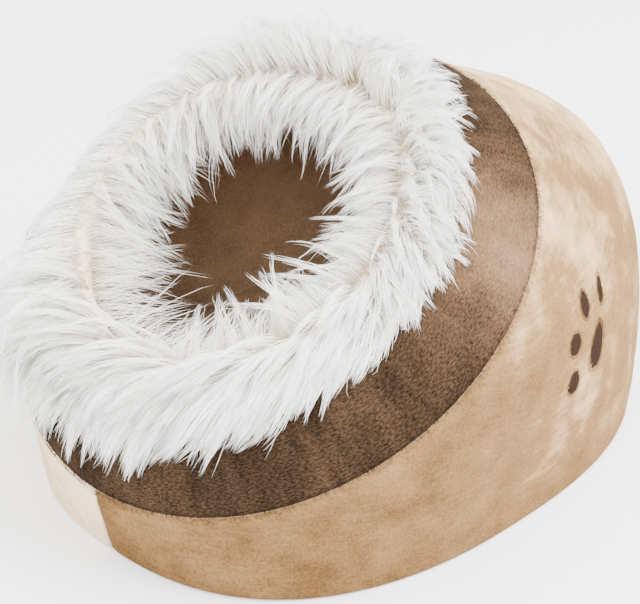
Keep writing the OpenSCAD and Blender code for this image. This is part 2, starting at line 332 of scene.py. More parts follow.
class Recipe:
    """A short way to write one material's node tree."""

    def __init__(self, name: str) -> None:
        """Starts an empty material with a surface shader.

        Args:
            name: the material's name.
        """
        self.material = bpy.data.materials.new(name)
        self.material.use_nodes = True
        self.tree = self.material.node_tree
        self.shader = self.tree.nodes["Principled BSDF"]

    def node(self, kind: str, **settings: object) -> bpy.types.Node:
        """Adds a node and sets its properties.

        Args:
            kind: the node type's name.
            settings: its properties.

        Returns:
            The node.
        """
        made = self.tree.nodes.new(kind)
        for key, value in settings.items():
            setattr(made, key, value)
        return made

    def link(self, source: bpy.types.NodeSocket, target: bpy.types.NodeSocket) -> None:
        """Joins two sockets."""
        self.tree.links.new(source, target)

    def feed(self, target: bpy.types.NodeSocket, value: object) -> None:
        """Gives a socket a number, a colour or another node's output.

        Args:
            target: the socket to set.
            value: a number, a colour or an output.
        """
        if isinstance(value, bpy.types.NodeSocket):
            self.link(value, target)
        else:
            target.default_value = value

    def constants(self, **values: float) -> None:
        """Sets numbers on the shader's own sockets, named with underscores for spaces."""
        for key, value in values.items():
            self.shader.inputs[key.replace("_", " ")].default_value = value

    def place(self, source: str, scale: Triple, turn: float = 0.0) -> bpy.types.NodeSocket:
        """Coordinates for a pattern.

        Args:
            source: Object, or the name of the piece's own UV map.
            scale: features per metre along each axis.
            turn: rotation about Z in degrees.

        Returns:
            The vector output.
        """
        if source == "Object":
            start = self.node("ShaderNodeTexCoord").outputs["Object"]
        else:
            start = self.node("ShaderNodeUVMap", uv_map=source).outputs["UV"]
        mapping = self.node("ShaderNodeMapping")
        self.link(start, mapping.inputs["Vector"])
        mapping.inputs["Scale"].default_value = scale
        mapping.inputs["Rotation"].default_value = (0.0, 0.0, math.radians(turn))
        return mapping.outputs["Vector"]

    def noise(self, vector: object, scale: float = 1.0, detail: float = 2.0, rough: float = 0.5) -> object:
        """A noise value between 0 and 1.

        Args:
            vector: where the pattern is read.
            scale: a further scale of the pattern.
            detail: how many finer layers are added.
            rough: how strong those layers are.

        Returns:
            The value's output.
        """
        made = self.node("ShaderNodeTexNoise")
        self.link(vector, made.inputs["Vector"])
        made.inputs["Scale"].default_value = scale
        made.inputs["Detail"].default_value = detail
        made.inputs["Roughness"].default_value = rough
        return made.outputs["Fac"]

    def math(self, operation: str, a: object, b: object = 0.0, clamp: bool = False) -> bpy.types.NodeSocket:
        """One sum on one or two values.

        Args:
            operation: the sum's name.
            a: the first value.
            b: the second value.
            clamp: True to keep it between 0 and 1.

        Returns:
            The sum's output.
        """
        made = self.node("ShaderNodeMath", operation=operation, use_clamp=clamp)
        self.feed(made.inputs[0], a)
        self.feed(made.inputs[1], b)
        return made.outputs[0]

    def weigh(self, parts: Sequence[tuple[object, float]], start: object) -> bpy.types.NodeSocket:
        """A start value plus each pattern's departure from its middle, times its weight.

        Args:
            parts: each pattern with its weight.
            start: the value to start from.

        Returns:
            The total, kept between 0 and 1.
        """
        total: object = start
        for value, weight in parts:
            departure = self.math("SUBTRACT", value, 0.5)
            total = self.math("ADD", total, self.math("MULTIPLY", departure, weight))
        return self.math("ADD", total, 0.0, clamp=True)

    def ramp(self, value: object, stops: Sequence[tuple[float, Colour]]) -> bpy.types.NodeSocket:
        """Colours along a value.

        Args:
            value: what the colours follow.
            stops: places between 0 and 1 with their colours.

        Returns:
            The colour output.
        """
        made = self.node("ShaderNodeValToRGB")
        self.link(value, made.inputs["Fac"])
        elements = made.color_ramp.elements
        while len(elements) < len(stops):
            elements.new(0.5)
        for element, (place, colour) in zip(elements, stops):
            element.position = place
            element.color = (*colour, 1.0)
        return made.outputs["Color"]

    def mix(self, share: object, a: object, b: object, blend: str = "MIX") -> bpy.types.NodeSocket:
        """Two colours mixed.

        Args:
            share: how much of the second.
            a: the first colour.
            b: the second colour.
            blend: how the two are mixed.

        Returns:
            The colour output.
        """
        made = self.node("ShaderNodeMix", data_type="RGBA", blend_type=blend)
        self.feed(made.inputs["Factor"], share)
        for socket, value in ((made.inputs["A"], a), (made.inputs["B"], b)):
            self.feed(socket, (*value, 1.0) if isinstance(value, tuple) else value)
        return made.outputs["Result"]

    def bump(self, height: object, distance: float, strength: float, base: object = None) -> object:
        """A bump from a height, over another bump if there is one.

        Args:
            height: the height.
            distance: how high the bump is in metres.
            strength: how strongly it shows.
            base: the other bump.

        Returns:
            The normal output.
        """
        made = self.node("ShaderNodeBump")
        self.feed(made.inputs["Height"], height)
        made.inputs["Distance"].default_value = distance
        made.inputs["Strength"].default_value = strength
        if base is not None:
            self.link(base, made.inputs["Normal"])
        return made.outputs["Normal"]


@dataclass(frozen=True)
class Plush:
    """Short-pile plush: nap combed different ways in soft patches, fine pile, a pale sheen, and painted
    light and shade across the bed.
    """

    name: str
    nap_dark_and_shade: Colour
    middle: Colour
    nap_light_and_highlight: Colour
    sheen: float = 0.1
    # strength of the ribs; their darker grooves are painted shade
    rows: float = 0.0
    contrast: float = 1.0
    # painted light and shade: the tone rises along this direction across the bed, lighter on lit sides and
    # darker on shaded ones
    shade_drift: Triple = (0.0, 0.0, 0.0)
    level: float = 0.5
    grain: float = 0.45
    # painted highlight: the tone is raised near this point, where the surface catches the light
    highlight_zone: Triple = (0.0, 0.0, 0.0)
    highlight_gain: float = 0.0

    # features per metre
    CLOUDS: ClassVar[Triple] = (13.0, 13.0, 13.0)
    PATCHES: ClassVar[Triple] = (48.0, 48.0, 48.0)
    STREAKS: ClassVar[Triple] = (70.0, 260.0, 1.0)
    PILE: ClassVar[Triple] = (650.0, 650.0, 650.0)
    ROW_FLECKS: ClassVar[Triple] = (430.0, 980.0, 1.0)
    RIBS: ClassVar[Triple] = (105.0, 20.0, 1.0)
    # how far the painted highlight reaches, in metres
    HIGHLIGHT_REACH: ClassVar[float] = 0.098
    # the tone at which the grain would be gone, the least share of colour it leaves, and its strength
    GRAIN_FADE: ClassVar[float] = 1.35
    GRAIN_FLOOR: ClassVar[float] = 0.25
    GRAIN_FORCE: ClassVar[float] = 3.0

    def make(self) -> bpy.types.Material:
        """Builds the material.

        Returns:
            The material.
        """
        r = Recipe(self.name)
        clouds = r.noise(r.place("Object", self.CLOUDS), detail=3.0, rough=0.55)
        patches = r.noise(r.place("Object", self.PATCHES), detail=3.0, rough=0.6)
        streaks = r.noise(r.place("UVMap", self.STREAKS, turn=8.0), detail=2.0)
        pile = r.noise(r.place("Object", self.PILE), detail=2.0, rough=0.7)
        c = self.contrast
        tone = r.weigh([(clouds, 2.0 * c), (patches, 1.1 * c), (streaks, 0.5 * c)], self._base(r))
        # the ramp's dark and light ends serve both the random nap and the painted light and shade
        colour = r.ramp(tone, [(0.0, self.nap_dark_and_shade), (0.5, self.middle), (1.0, self.nap_light_and_highlight)])
        height = r.weigh([(pile, 0.8), (streaks, 0.5)], 0.5)
        if self.rows:
            flecks = r.noise(r.place("UVMap", self.ROW_FLECKS), detail=2.0, rough=0.75)
            # the ribs are real pile ribs and are bumped too; their colour swing is painted shade in the
            # grooves
            ribs = r.noise(r.place("UVMap", self.RIBS, turn=5.0), detail=1.5)
            height = r.math("ADD", height, r.math("MULTIPLY", r.math("ADD", flecks, ribs), 0.5))
            grain = self._grain(r, [(flecks, 0.5, self.grain), (ribs, 0.52, self.rows)], tone)
        else:
            grain = self._grain(r, [(pile, 0.5, self.grain)], tone)
        grained = r.node("ShaderNodeVectorMath", operation="SCALE")
        r.link(colour, grained.inputs[0])
        r.link(grain, grained.inputs["Scale"])
        r.link(grained.outputs["Vector"], r.shader.inputs["Base Color"])
        wide = r.bump(patches, 1.2 * MM, 0.35)
        r.link(r.bump(height, 0.5 * MM, 0.55, wide), r.shader.inputs["Normal"])
        r.constants(Roughness=1.0, Specular_IOR_Level=0.04, Sheen_Weight=self.sheen, Sheen_Roughness=0.45)
        r.shader.inputs["Sheen Tint"].default_value = (*self.nap_light_and_highlight, 1.0)
        return r.material

    def _base(self, r: Recipe) -> bpy.types.NodeSocket:
        """The tone before any pattern: a level, a painted light-and-shade gradient across the bed, and a
        painted highlight patch if there is one.

        Args:
            r: the material being written.

        Returns:
            The tone's socket.
        """
        # painted light and shade: the tone shifts with the place on the bed along a set direction
        shade_gradient = r.node("ShaderNodeVectorMath", operation="DOT_PRODUCT")
        r.link(r.place("Object", (1.0, 1.0, 1.0)), shade_gradient.inputs[0])
        shade_gradient.inputs[1].default_value = self.shade_drift
        base = r.math("ADD", shade_gradient.outputs["Value"], self.level)
        if not self.highlight_gain:
            return base
        # painted highlight: paler the nearer the point
        far = r.node("ShaderNodeVectorMath", operation="DISTANCE")
        r.link(r.place("Object", (1.0, 1.0, 1.0)), far.inputs[0])
        far.inputs[1].default_value = self.highlight_zone
        share = r.math("DIVIDE", far.outputs["Value"], self.HIGHLIGHT_REACH)
        near = r.math("SUBTRACT", 1.0, share, clamp=True)
        return r.math("ADD", base, r.math("MULTIPLY", near, self.highlight_gain))

    def _grain(
        self, r: Recipe, parts: Sequence[tuple[object, float, float]], tone: object
    ) -> bpy.types.NodeSocket:
        """A factor on the colour that is livelier where the tone is dark.

        Args:
            r: the material being written.
            parts: each pattern with its middle and its strength.
            tone: the tone between 0 and 1.

        Returns:
            The factor's socket.
        """
        total: object = 0.0
        for pattern, middle, strength in parts:
            departure = r.math("SUBTRACT", pattern, middle)
            total = r.math("ADD", total, r.math("MULTIPLY", departure, strength * self.GRAIN_FORCE))
        fade = r.math("SUBTRACT", self.GRAIN_FADE, tone)
        return r.math("MAXIMUM", r.math("ADD", r.math("MULTIPLY", total, fade), 1.0), self.GRAIN_FLOOR)


@dataclass(frozen=True)
class Hair:
    """Long silky pile: tan at the root, white along the hair."""

    name: str
    root: Colour
    shaft: Colour
    tip: Colour

    def make(self) -> bpy.types.Material:
        """Builds the material.

        Returns:
            The material.
        """
        r = Recipe(self.name)
        split = r.node("ShaderNodeSeparateXYZ")
        r.link(r.node("ShaderNodeUVMap", uv_map=FIBRE_MAP).outputs["UV"], split.inputs[0])
        lock = r.noise(r.place("Object", (26.0, 26.0, 26.0)), detail=2.0)
        fine = r.noise(r.place("Object", (160.0, 160.0, 160.0)), detail=1.0)
        uneven = r.math("SUBTRACT", r.weigh([(lock, 0.5)], 0.5), 0.5)
        along = r.math("ADD", split.outputs["Y"], uneven)
        colour = r.ramp(along, [(0.0, self.root), (0.24, self.shaft), (0.8, self.tip)])
        r.link(r.mix(r.math("MULTIPLY", fine, 0.16), colour, self.root), r.shader.inputs["Base Color"])
        r.constants(Roughness=0.55, Specular_IOR_Level=0.35)
        return r.material


@dataclass(frozen=True)
class Knit:
    """Knitted or woven ground cloth with a small regular stitch."""

    name: str
    light: Colour
    dark: Colour
    stitches: float = 420.0

    def make(self) -> bpy.types.Material:
        """Builds the material.

        Returns:
            The material.
        """
        r = Recipe(self.name)
        cells = r.node("ShaderNodeTexVoronoi")
        r.link(r.place("UVMap", (self.stitches, self.stitches * 0.7, 1.0)), cells.inputs["Vector"])
        cells.inputs["Scale"].default_value = 1.0
        cells.inputs["Randomness"].default_value = 0.35
        cloud = r.noise(r.place("Object", (30.0, 30.0, 30.0)))
        tone = r.weigh([(cells.outputs["Distance"], 0.7), (cloud, 0.6)], 0.5)
        r.link(r.ramp(tone, [(0.0, self.light), (1.0, self.dark)]), r.shader.inputs["Base Color"])
        height = r.math("SUBTRACT", 1.0, cells.outputs["Distance"])
        r.link(r.bump(height, 0.4 * MM, 0.6), r.shader.inputs["Normal"])
        r.constants(Roughness=0.9, Specular_IOR_Level=0.2)
        return r.material


@dataclass(frozen=True)
class Foam:
    """Open-cell foam with fine pores."""

    name: str
    colour: Colour
    pore: Colour

    def make(self) -> bpy.types.Material:
        """Builds the material.

        Returns:
            The material.
        """
        r = Recipe(self.name)
        cells = r.node("ShaderNodeTexVoronoi")
        r.link(r.place("Object", (700.0, 700.0, 700.0)), cells.inputs["Vector"])
        cells.inputs["Scale"].default_value = 1.0
        cloud = r.noise(r.place("Object", (20.0, 20.0, 20.0)))
        tone = r.weigh([(cells.outputs["Distance"], 0.8), (cloud, 0.3)], 0.4)
        r.link(r.ramp(tone, [(0.0, self.pore), (0.5, self.colour)]), r.shader.inputs["Base Color"])
        r.link(r.bump(cells.outputs["Distance"], 0.4 * MM, 0.7), r.shader.inputs["Normal"])
        r.constants(Roughness=0.95, Specular_IOR_Level=0.1)
        return r.material


@dataclass(frozen=True)
class Thread:
    """Spun thread: fine twisted lines along a dark or light yarn."""

    name: str
    colour: Colour
    shade: Colour
    sheen: float = 0.2

    def make(self) -> bpy.types.Material:
        """Builds the material.

        Returns:
            The material.
        """
        r = Recipe(self.name)
        twist = r.node("ShaderNodeTexWave", wave_type="BANDS", bands_direction="DIAGONAL")
        r.link(r.place("Object", (900.0, 900.0, 900.0)), twist.inputs["Vector"])
        twist.inputs["Scale"].default_value = 1.0
        twist.inputs["Distortion"].default_value = 2.0
        speck = r.noise(r.place("Object", (500.0, 500.0, 500.0)))
        tone = r.weigh([(twist.outputs["Fac"], 0.6), (speck, 0.8)], 0.5)
        r.link(r.ramp(tone, [(0.0, self.shade), (1.0, self.colour)]), r.shader.inputs["Base Color"])
        r.link(r.bump(tone, 0.25 * MM, 0.6), r.shader.inputs["Normal"])
        r.constants(Roughness=1.0, Specular_IOR_Level=0.03, Sheen_Weight=self.sheen)
        return r.material


@dataclass(frozen=True)
class Backdrop:
    """Plain pale matt floor."""

    name: str
    colour: Colour

    def make(self) -> bpy.types.Material:
        """Builds the material.

        Returns:
            The material.
        """
        r = Recipe(self.name)
        r.shader.inputs["Base Color"].default_value = (*self.colour, 1.0)
        r.constants(Roughness=0.9, Specular_IOR_Level=0.1)
        return r.material


class Finish(Enum):
    """Every finish on the bed."""

    # painted light and shade: the right panel is darker at the low front and lighter towards the back and
    # the top
    BEIGE = Plush(
        "plush_beige",
        (0.096, 0.049, 0.017),
        (0.200, 0.112, 0.046),
        (0.60, 0.397, 0.216),
        sheen=0.06,
        contrast=0.6,
        shade_drift=(0.0, 1.35, 1.35),
        level=0.30,
    )
    # painted light: a paler copy of the beige plush for the left panel, lighter again towards the front and
    # the top, standing in for the light that falls on the left front
    BEIGE_LEFT = Plush(
        "plush_beige_left",
        (0.17, 0.100, 0.044),
        (0.39, 0.260, 0.145),
        (0.63, 0.478, 0.315),
        sheen=0.06,
        contrast=0.5,
        shade_drift=(0.0, -1.1, 0.3),
        level=0.72,
    )
    # painted light and shade: a painted highlight on the hood's upper right, darker towards the right and
    # the low front, lighter towards the back and the top; the ribs' colour swing is painted shade
    BROWN = Plush(
        "plush_brown",
        (0.0190, 0.0111, 0.0061),
        (0.050, 0.0286, 0.0153),
        (0.150, 0.0868, 0.0462),
        sheen=0.04,
        rows=0.36,
        contrast=0.45,
        shade_drift=(-0.2, 0.15, 0.12),
        level=0.03,
        grain=1.3,
        highlight_zone=(0.150, -0.02, 0.195),
        highlight_gain=0.92,
    )
    # painted shade: darker towards the front and the bottom of the inside, lighter towards the back and the
    # top
    LINING = Plush(
        "plush_lining",
        (0.110, 0.064, 0.035),
        (0.240, 0.144, 0.080),
        (0.33, 0.207, 0.118),
        sheen=0.03,
        contrast=0.4,
        shade_drift=(0.0, 1.1, 1.5),
        level=0.30,
    )
    FUR = Hair("hair_white", (0.80, 0.66, 0.50), (0.96, 0.94, 0.90), (0.985, 0.98, 0.965))
    KNIT = Knit("knit_backing", (0.80, 0.68, 0.54), (0.58, 0.44, 0.32))
    BOTTOM = Knit("cloth_bottom", (0.055, 0.045, 0.038), (0.02, 0.016, 0.014), 300.0)
    FOAM = Foam("foam_cells", (0.84, 0.82, 0.74), (0.58, 0.56, 0.48))
    PAW = Thread("thread_paw", (0.034, 0.019, 0.012), (0.009, 0.005, 0.0035), 0.0)
    BEIGE_THREAD = Thread("thread_beige", (0.62, 0.49, 0.36), (0.38, 0.28, 0.19))
    BROWN_THREAD = Thread("thread_brown", (0.20, 0.118, 0.065), (0.12, 0.070, 0.038))
    FLOOR = Backdrop("pale_floor", (0.82, 0.82, 0.81))

    def material(self) -> bpy.types.Material:
        """The finish's material, made once."""
        return bpy.data.materials.get(self.value.name) or self.value.make()


# ---------------------------------------------------------------- mesh helpers


def new_object(name: str, mesh: bpy.types.Mesh, finish: Finish) -> bpy.types.Object:
    """Puts a mesh in the scene as an object at the origin, smooth and with its finish.

    Args:
        name: the object's name.
        mesh: the mesh.
        finish: its finish.

    Returns:
        The object.
    """
    obj = bpy.data.objects.new(name, mesh)
    bpy.context.scene.collection.objects.link(obj)
    mesh.materials.append(finish.material())
    mesh.polygons.foreach_set("use_smooth", np.ones(len(mesh.polygons), bool))
    mesh.update()
    return obj


@dataclass(frozen=True)
class Panel:
    """A sewn panel: a grid laid on a surface, with its sizes kept as UV in metres."""

    name: str
    finish: Finish
    columns: int
    rows: int
    joined: bool = False
    inwards: bool = False
    thick: float = 0.6 * MM
    subdivide: bool = True

    def lay(self, place: Callable[[Array, Array], tuple[Array, Array]]) -> bpy.types.Object:
        """Builds the panel.

        Args:
            place: gives the places and the UVs in metres for shares across and up the panel.

        Returns:
            The finished object.
        """
        bm = bmesh.new()
        uv_layer = bm.loops.layers.uv.new("UVMap")
        bmesh.ops.create_grid(bm, x_segments=self.columns, y_segments=self.rows, size=0.5)
        shares = np.array([v.co[:2] for v in bm.verts]) + 0.5
        places, uvs = place(shares[:, 0], shares[:, 1])
        for vert, co in zip(bm.verts, places):
            vert.co = co
        bm.verts.index_update()
        for face in bm.faces:
            for loop in face.loops:
                loop[uv_layer].uv = uvs[loop.vert.index]
        if self.joined:
            bmesh.ops.remove_doubles(bm, verts=bm.verts, dist=0.02 * MM)
        self._face_out(bm)
        mesh = bpy.data.meshes.new(self.name)
        bm.to_mesh(mesh)
        bm.free()
        obj = new_object(self.name, mesh, self.finish)
        if self.subdivide:
            fine = obj.modifiers.new("soft", "SUBSURF")
            fine.levels = fine.render_levels = 1
        if self.thick:
            wall = obj.modifiers.new("cloth", "SOLIDIFY")
            wall.thickness = self.thick
            wall.offset = -1.0
        return obj

    def _face_out(self, bm: bmesh.types.BMesh) -> None:
        """Turns the faces the way the panel's good side looks, judged from a point inside the bed.

        Args:
            bm: the mesh being made.
        """
        middle = Vector((0.0, -0.01, 0.11))
        bm.normal_update()
        lean = sum(f.normal.dot(f.calc_center_median() - middle) * f.calc_area() for f in bm.faces)
        if (lean < 0) != self.inwards:
            bmesh.ops.reverse_faces(bm, faces=bm.faces)


@dataclass
class Fibres:
    """Many tapered fibres as one mesh: a small cone, cut into rings, is laid along each path."""

    rings: int = 5

    def __post_init__(self) -> None:
        """Makes the cone that every fibre is a copy of."""
        bm = bmesh.new()
        bmesh.ops.create_cone(bm, cap_ends=True, segments=3, radius1=1.0, radius2=0.0, depth=1.0)
        for k in range(1, self.rings):
            bmesh.ops.bisect_plane(
                bm,
                geom=bm.verts[:] + bm.edges[:] + bm.faces[:],
                plane_co=(0, 0, k / self.rings - 0.5),
                plane_no=(0, 0, 1),
            )
        bmesh.ops.triangulate(bm, faces=bm.faces)
        bm.verts.index_update()
        co = np.array([v.co[:] for v in bm.verts])
        self.along = np.rint((co[:, 2] + 0.5) * self.rings).astype(int)
        self.across = unit(co[:, :2]) * (self.along < self.rings)[:, None]
        self.faces = np.array([[v.index for v in f.verts] for f in bm.faces])
        bm.free()

    def mesh(self, name: str, paths: Array, radius: Array, where: Array) -> bpy.types.Mesh:
        """Lays a fibre along each path.

        Args:
            name: the mesh's name.
            paths: places, shaped fibres by rings + 1 by 3, from root to tip.
            radius: each fibre's radius at its root.
            where: each fibre's share of the way round its piece, for its map.

        Returns:
            The mesh, with its map named FIBRE_MAP: round the piece, and from root to tip.
        """
        count = len(paths)
        run = np.empty_like(paths)
        run[:, 1:-1] = paths[:, 2:] - paths[:, :-2]
        run[:, 0] = paths[:, 1] - paths[:, 0]
        run[:, -1] = paths[:, -1] - paths[:, -2]
        run = unit(run)
        side = unit(np.cross(run, unit(np.array([0.31, 0.52, 0.79]))))
        other = np.cross(run, side)
        share = self.along / self.rings
        taper = (1.0 - 0.75 * share**1.6) * radius[:, None]
        co = paths[:, self.along] + taper[..., None] * (
            self.across[None, :, :1] * side[:, self.along] + self.across[None, :, 1:] * other[:, self.along]
        )
        size = len(self.along)
        faces = (self.faces[None] + (np.arange(count) * size)[:, None, None]).reshape(-1, 3)
        mesh = bpy.data.meshes.new(name)
        mesh.vertices.add(count * size)
        mesh.vertices.foreach_set("co", co.astype(np.float32).ravel())
        mesh.loops.add(len(faces) * 3)
        mesh.loops.foreach_set("vertex_index", faces.astype(np.int32).ravel())
        mesh.polygons.add(len(faces))
        mesh.polygons.foreach_set("loop_start", np.arange(0, len(faces) * 3, 3, dtype=np.int32))
        u = where[:, None] + self.across[None, :, 0] * 0.002
        uv = np.stack([u, np.broadcast_to(share, u.shape)], axis=-1).reshape(-1, 2)
        layer = mesh.uv_layers.new(name=FIBRE_MAP)
        layer.data.foreach_set("uv", uv[faces.ravel()].astype(np.float32).ravel())
        mesh.update(calc_edges=True)
        mesh.validate()
        return mesh


def settle(obj: bpy.types.Object, body: str, slot: str, *nodes: str) -> bpy.types.Object:
    """Hides the frame's nodes that a piece stands for, puts the piece under the body it rides on, and logs
    it.

    Args:
        obj: the piece.
        body: the body it rides on.
        slot: not used.
        nodes: the nodes of the frame that it stands for.

    Returns:
        The same piece.
    """
    if nodes:
        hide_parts(*nodes)
    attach(obj, body)
    LOG.info("%s: %d faces, on %s", obj.name, len(obj.data.polygons), body)
    return obj


def undulate(points: Array, seed: float) -> Array:
    """Soft unevenness of fabric over foam, in metres."""
    return (0.8 * soft_noise(points, 17.0, seed) + 0.35 * soft_noise(points, 55.0, seed + 2)) * MM


# ---------------------------------------------------------------- the print's outline


@dataclass(frozen=True)
class Pad:
    """One pad of the paw print, as a rounded outline on the right wall."""

    name: str
    y: float
    z: float
    half_long: float
    half_wide: float
    taper: float
    turn: float

    def outline(self, angle: Array, grow: Array | float) -> tuple[Array, Array]:
        """Depths and heights of the outline at angles, scaled about the pad's middle.

        Args:
            angle: angles in radians.
            grow: 1 on the outline and less inside it.

        Returns:
            The depths and the heights.
        """
        along = self.half_long * grow * np.cos(angle)
        across = self.half_wide * grow * np.sin(angle) * (1 - self.taper * np.cos(angle))
        c, s = math.cos(math.radians(self.turn)), math.sin(math.radians(self.turn))
        return self.y + along * c - across * s, self.z + along * s + across * c


PADS = (
    Pad("paw_palm", 54.5 * MM, 103.0 * MM, 15.8 * MM, 9.0 * MM, 0.28, 69.0),
    Pad("paw_toe_1", 66.0 * MM, 133.5 * MM, 9.6 * MM, 4.2 * MM, 0.1, 84.0),
    Pad("paw_toe_2", 44.0 * MM, 134.0 * MM, 9.6 * MM, 5.8 * MM, 0.1, 96.0),
    Pad("paw_toe_3", 28.0 * MM, 116.5 * MM, 8.0 * MM, 7.6 * MM, 0.05, 110.0),
    Pad("paw_toe_4", 26.0 * MM, 91.5 * MM, 8.6 * MM, 7.0 * MM, 0.05, 80.0),
)


# ---------------------------------------------------------------- sub-assemblies


@dataclass
class Wall:
    """The beige wall outside and the brown lining inside, each a left and a right panel."""

    shape: BedShape
    roll: float = 4.5 * MM
    nap: float = 0.4 * MM
    clear: float = 0.6 * MM
    foot_rows: float = 0.09

    def build(self) -> None:
        """Makes the four panels."""
        for side in (-1, 1):
            word = "right" if side > 0 else "left"
            # the left panel gets a paler copy of the beige plush, which is painted light
            finish = Finish.BEIGE if side > 0 else Finish.BEIGE_LEFT
            slot = "beige_plush" if side > 0 else "beige_plush_left"
            cover = Panel(f"cover_{word}", finish, 128, 66).lay(lambda u, v, s=side: self._cover(u, v, s))
            settle(cover, CAVE, slot, f"wall_cover_{word}")
            inner = Panel(f"lining_{word}", Finish.LINING, 80, 36, inwards=True, subdivide=False)
            lining = inner.lay(lambda u, v, s=side: self._lining(u, v, s))
            settle(lining, CAVE, "brown_plush", f"wall_lining_{word}")

    def _turn(self, u: Array, side: int) -> Array:
        """Angles across one half, closer together at its two seams.

        Args:
            u: shares across the panel.
            side: 1 for the right half and -1 for the left.

        Returns:
            Angles round the bed in radians.
        """
        w = 2 * u - 1
        half = np.radians(90.0 - 0.10) * (0.65 * w + 0.35 * np.sin(np.pi / 2 * w))
        return half if side > 0 else np.pi - half

    def _cover(self, u: Array, v: Array, side: int) -> tuple[Array, Array]:
        """Places and sizes of an outer panel.

        Args:
            u: shares across the panel.
            v: shares up the panel.
            side: 1 for the right half and -1 for the left.

        Returns:
            The places and the UVs in metres.
        """
        turn = self._turn(u, side)
        reach = self.shape.wall_reach(turn)
        start = (self.clear + self.roll - self.shape.base_top) / (1.5 * reach)
        rise = np.clip((v - self.foot_rows) / (1 - self.foot_rows), 0, 1)
        share = start + (1 - start) * rise * 0.998
        face = self.shape.wall_point(turn, share)
        out = self.shape.wall_out(turn, share)
        to_seam = (1 - share) * reach
        to_edge = np.abs(face[:, 0])
        lift = self.nap + undulate(face, 3.0 + side)
        lift = lift * smooth(to_seam / (14 * MM)) * smooth(share * reach / (12 * MM))
        gather = soft_noise(np.stack([turn * 26, turn * 0, turn * 0], -1), 1.0, 4.0)
        lift += (0.7 + 0.5 * gather) * MM * bell(to_seam - 8 * MM, 6 * MM)
        lift -= 0.8 * MM * bell(to_seam, 2.4 * MM)
        lift -= 1.2 * MM * bell(to_edge, 2.6 * MM)
        under = np.clip(1 - v / self.foot_rows, 0, 1) * np.pi / 2
        level = unit(out * np.array([1.0, 1.0, 0.0]))
        tucked, lowered = self.roll * (1 - np.cos(under)), self.roll * np.sin(under)
        rolled = -level * tucked[:, None] - WORLD_Z * lowered[:, None]
        rolled *= (v < self.foot_rows)[:, None]
        uvs = np.stack([turn * 0.17, share * reach + (v - self.foot_rows) * 0.02], -1)
        return face + out * lift[:, None] + rolled, uvs

    def _lining(self, u: Array, v: Array, side: int) -> tuple[Array, Array]:
        """Places and sizes of an inner panel.

        Args:
            u: shares across the panel.
            v: shares up the panel.
            side: 1 for the right half and -1 for the left.

        Returns:
            The places and the UVs in metres.
        """
        turn = self._turn(u, side)
        share = 0.01 + 0.985 * v
        reach = self.shape.wall_reach(turn)
        out = self.shape.wall_out(turn, share)
        face = self.shape.wall_point(turn, share) - out * (self.shape.lining_in + 0.4 * MM)
        sag = 0.9 * MM * (1 + soft_noise(face, 24.0, 8.0 + side)) * np.sin(np.pi * v)
        dip = 1.1 * MM * bell((1 - share) * reach, 5 * MM)
        return face - out * (sag - dip)[:, None], np.stack([turn * 0.15, share * reach], -1)


@dataclass
class Base:
    """The bottom cloth and the inside floor, which lie under and over the base foam."""

    shape: BedShape
    edge: float = 4.0 * MM

    def build(self) -> None:
        """Makes the bottom and floor panels."""
        bottom = Panel("bottom_cloth", Finish.BOTTOM, 96, 18, joined=True, thick=1.2 * MM)
        settle(bottom.lay(self._bottom), CAVE, "bottom_fabric", "base_cover")
        floor = Panel("floor_plush", Finish.LINING, 96, 14, joined=True, inwards=True, subdivide=False)
        settle(floor.lay(self._floor), CAVE, "brown_plush", "floor_lining")

    def _disc(self, u: Array, v: Array, inset: float) -> tuple[Array, Array]:
        """Places on an oval disc, and the share of its radius.

        Args:
            u: shares across the panel.
            v: shares up the panel.
            inset: how far inside the foot it ends.

        Returns:
            Rows of X and Y, and each one's share of the radius.
        """
        turn = u * 2 * np.pi
        share = 0.02 + 0.98 * v
        flat = self.shape.oval(self.shape.foot_half_w - inset, self.shape.foot_half_d - inset, turn)
        return flat * share[:, None], share

    def _bottom(self, u: Array, v: Array) -> tuple[Array, Array]:
        """Places and sizes of the bottom cloth, which is flat on the floor and turns up at its edge.

        Args:
            u: shares across the panel.
            v: shares up the panel.

        Returns:
            The places and the UVs in metres.
        """
        flat, share = self._disc(u, v, self.edge)
        rise = 1.6 * MM * smooth((share - 0.975) / 0.025)
        ripple = 0.25 * MM * (1 + soft_noise(np.c_[flat, flat[:, :1] * 0], 30.0, 5.0)) * (share < 0.97)
        low = np.where(share > 0.5, 0.0, ripple)
        return np.c_[flat, low + rise], flat

    def _floor(self, u: Array, v: Array) -> tuple[Array, Array]:
        """Places and sizes of the inside floor.

        Args:
            u: shares across the panel.
            v: shares up the panel.

        Returns:
            The places and the UVs in metres.
        """
        flat, _ = self._disc(u, v, self.shape.lining_in + 0.6 * MM)
        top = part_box("floor_lining")[1][2] - 0.1 * MM
        return np.c_[flat, np.full(len(flat), top)], flat


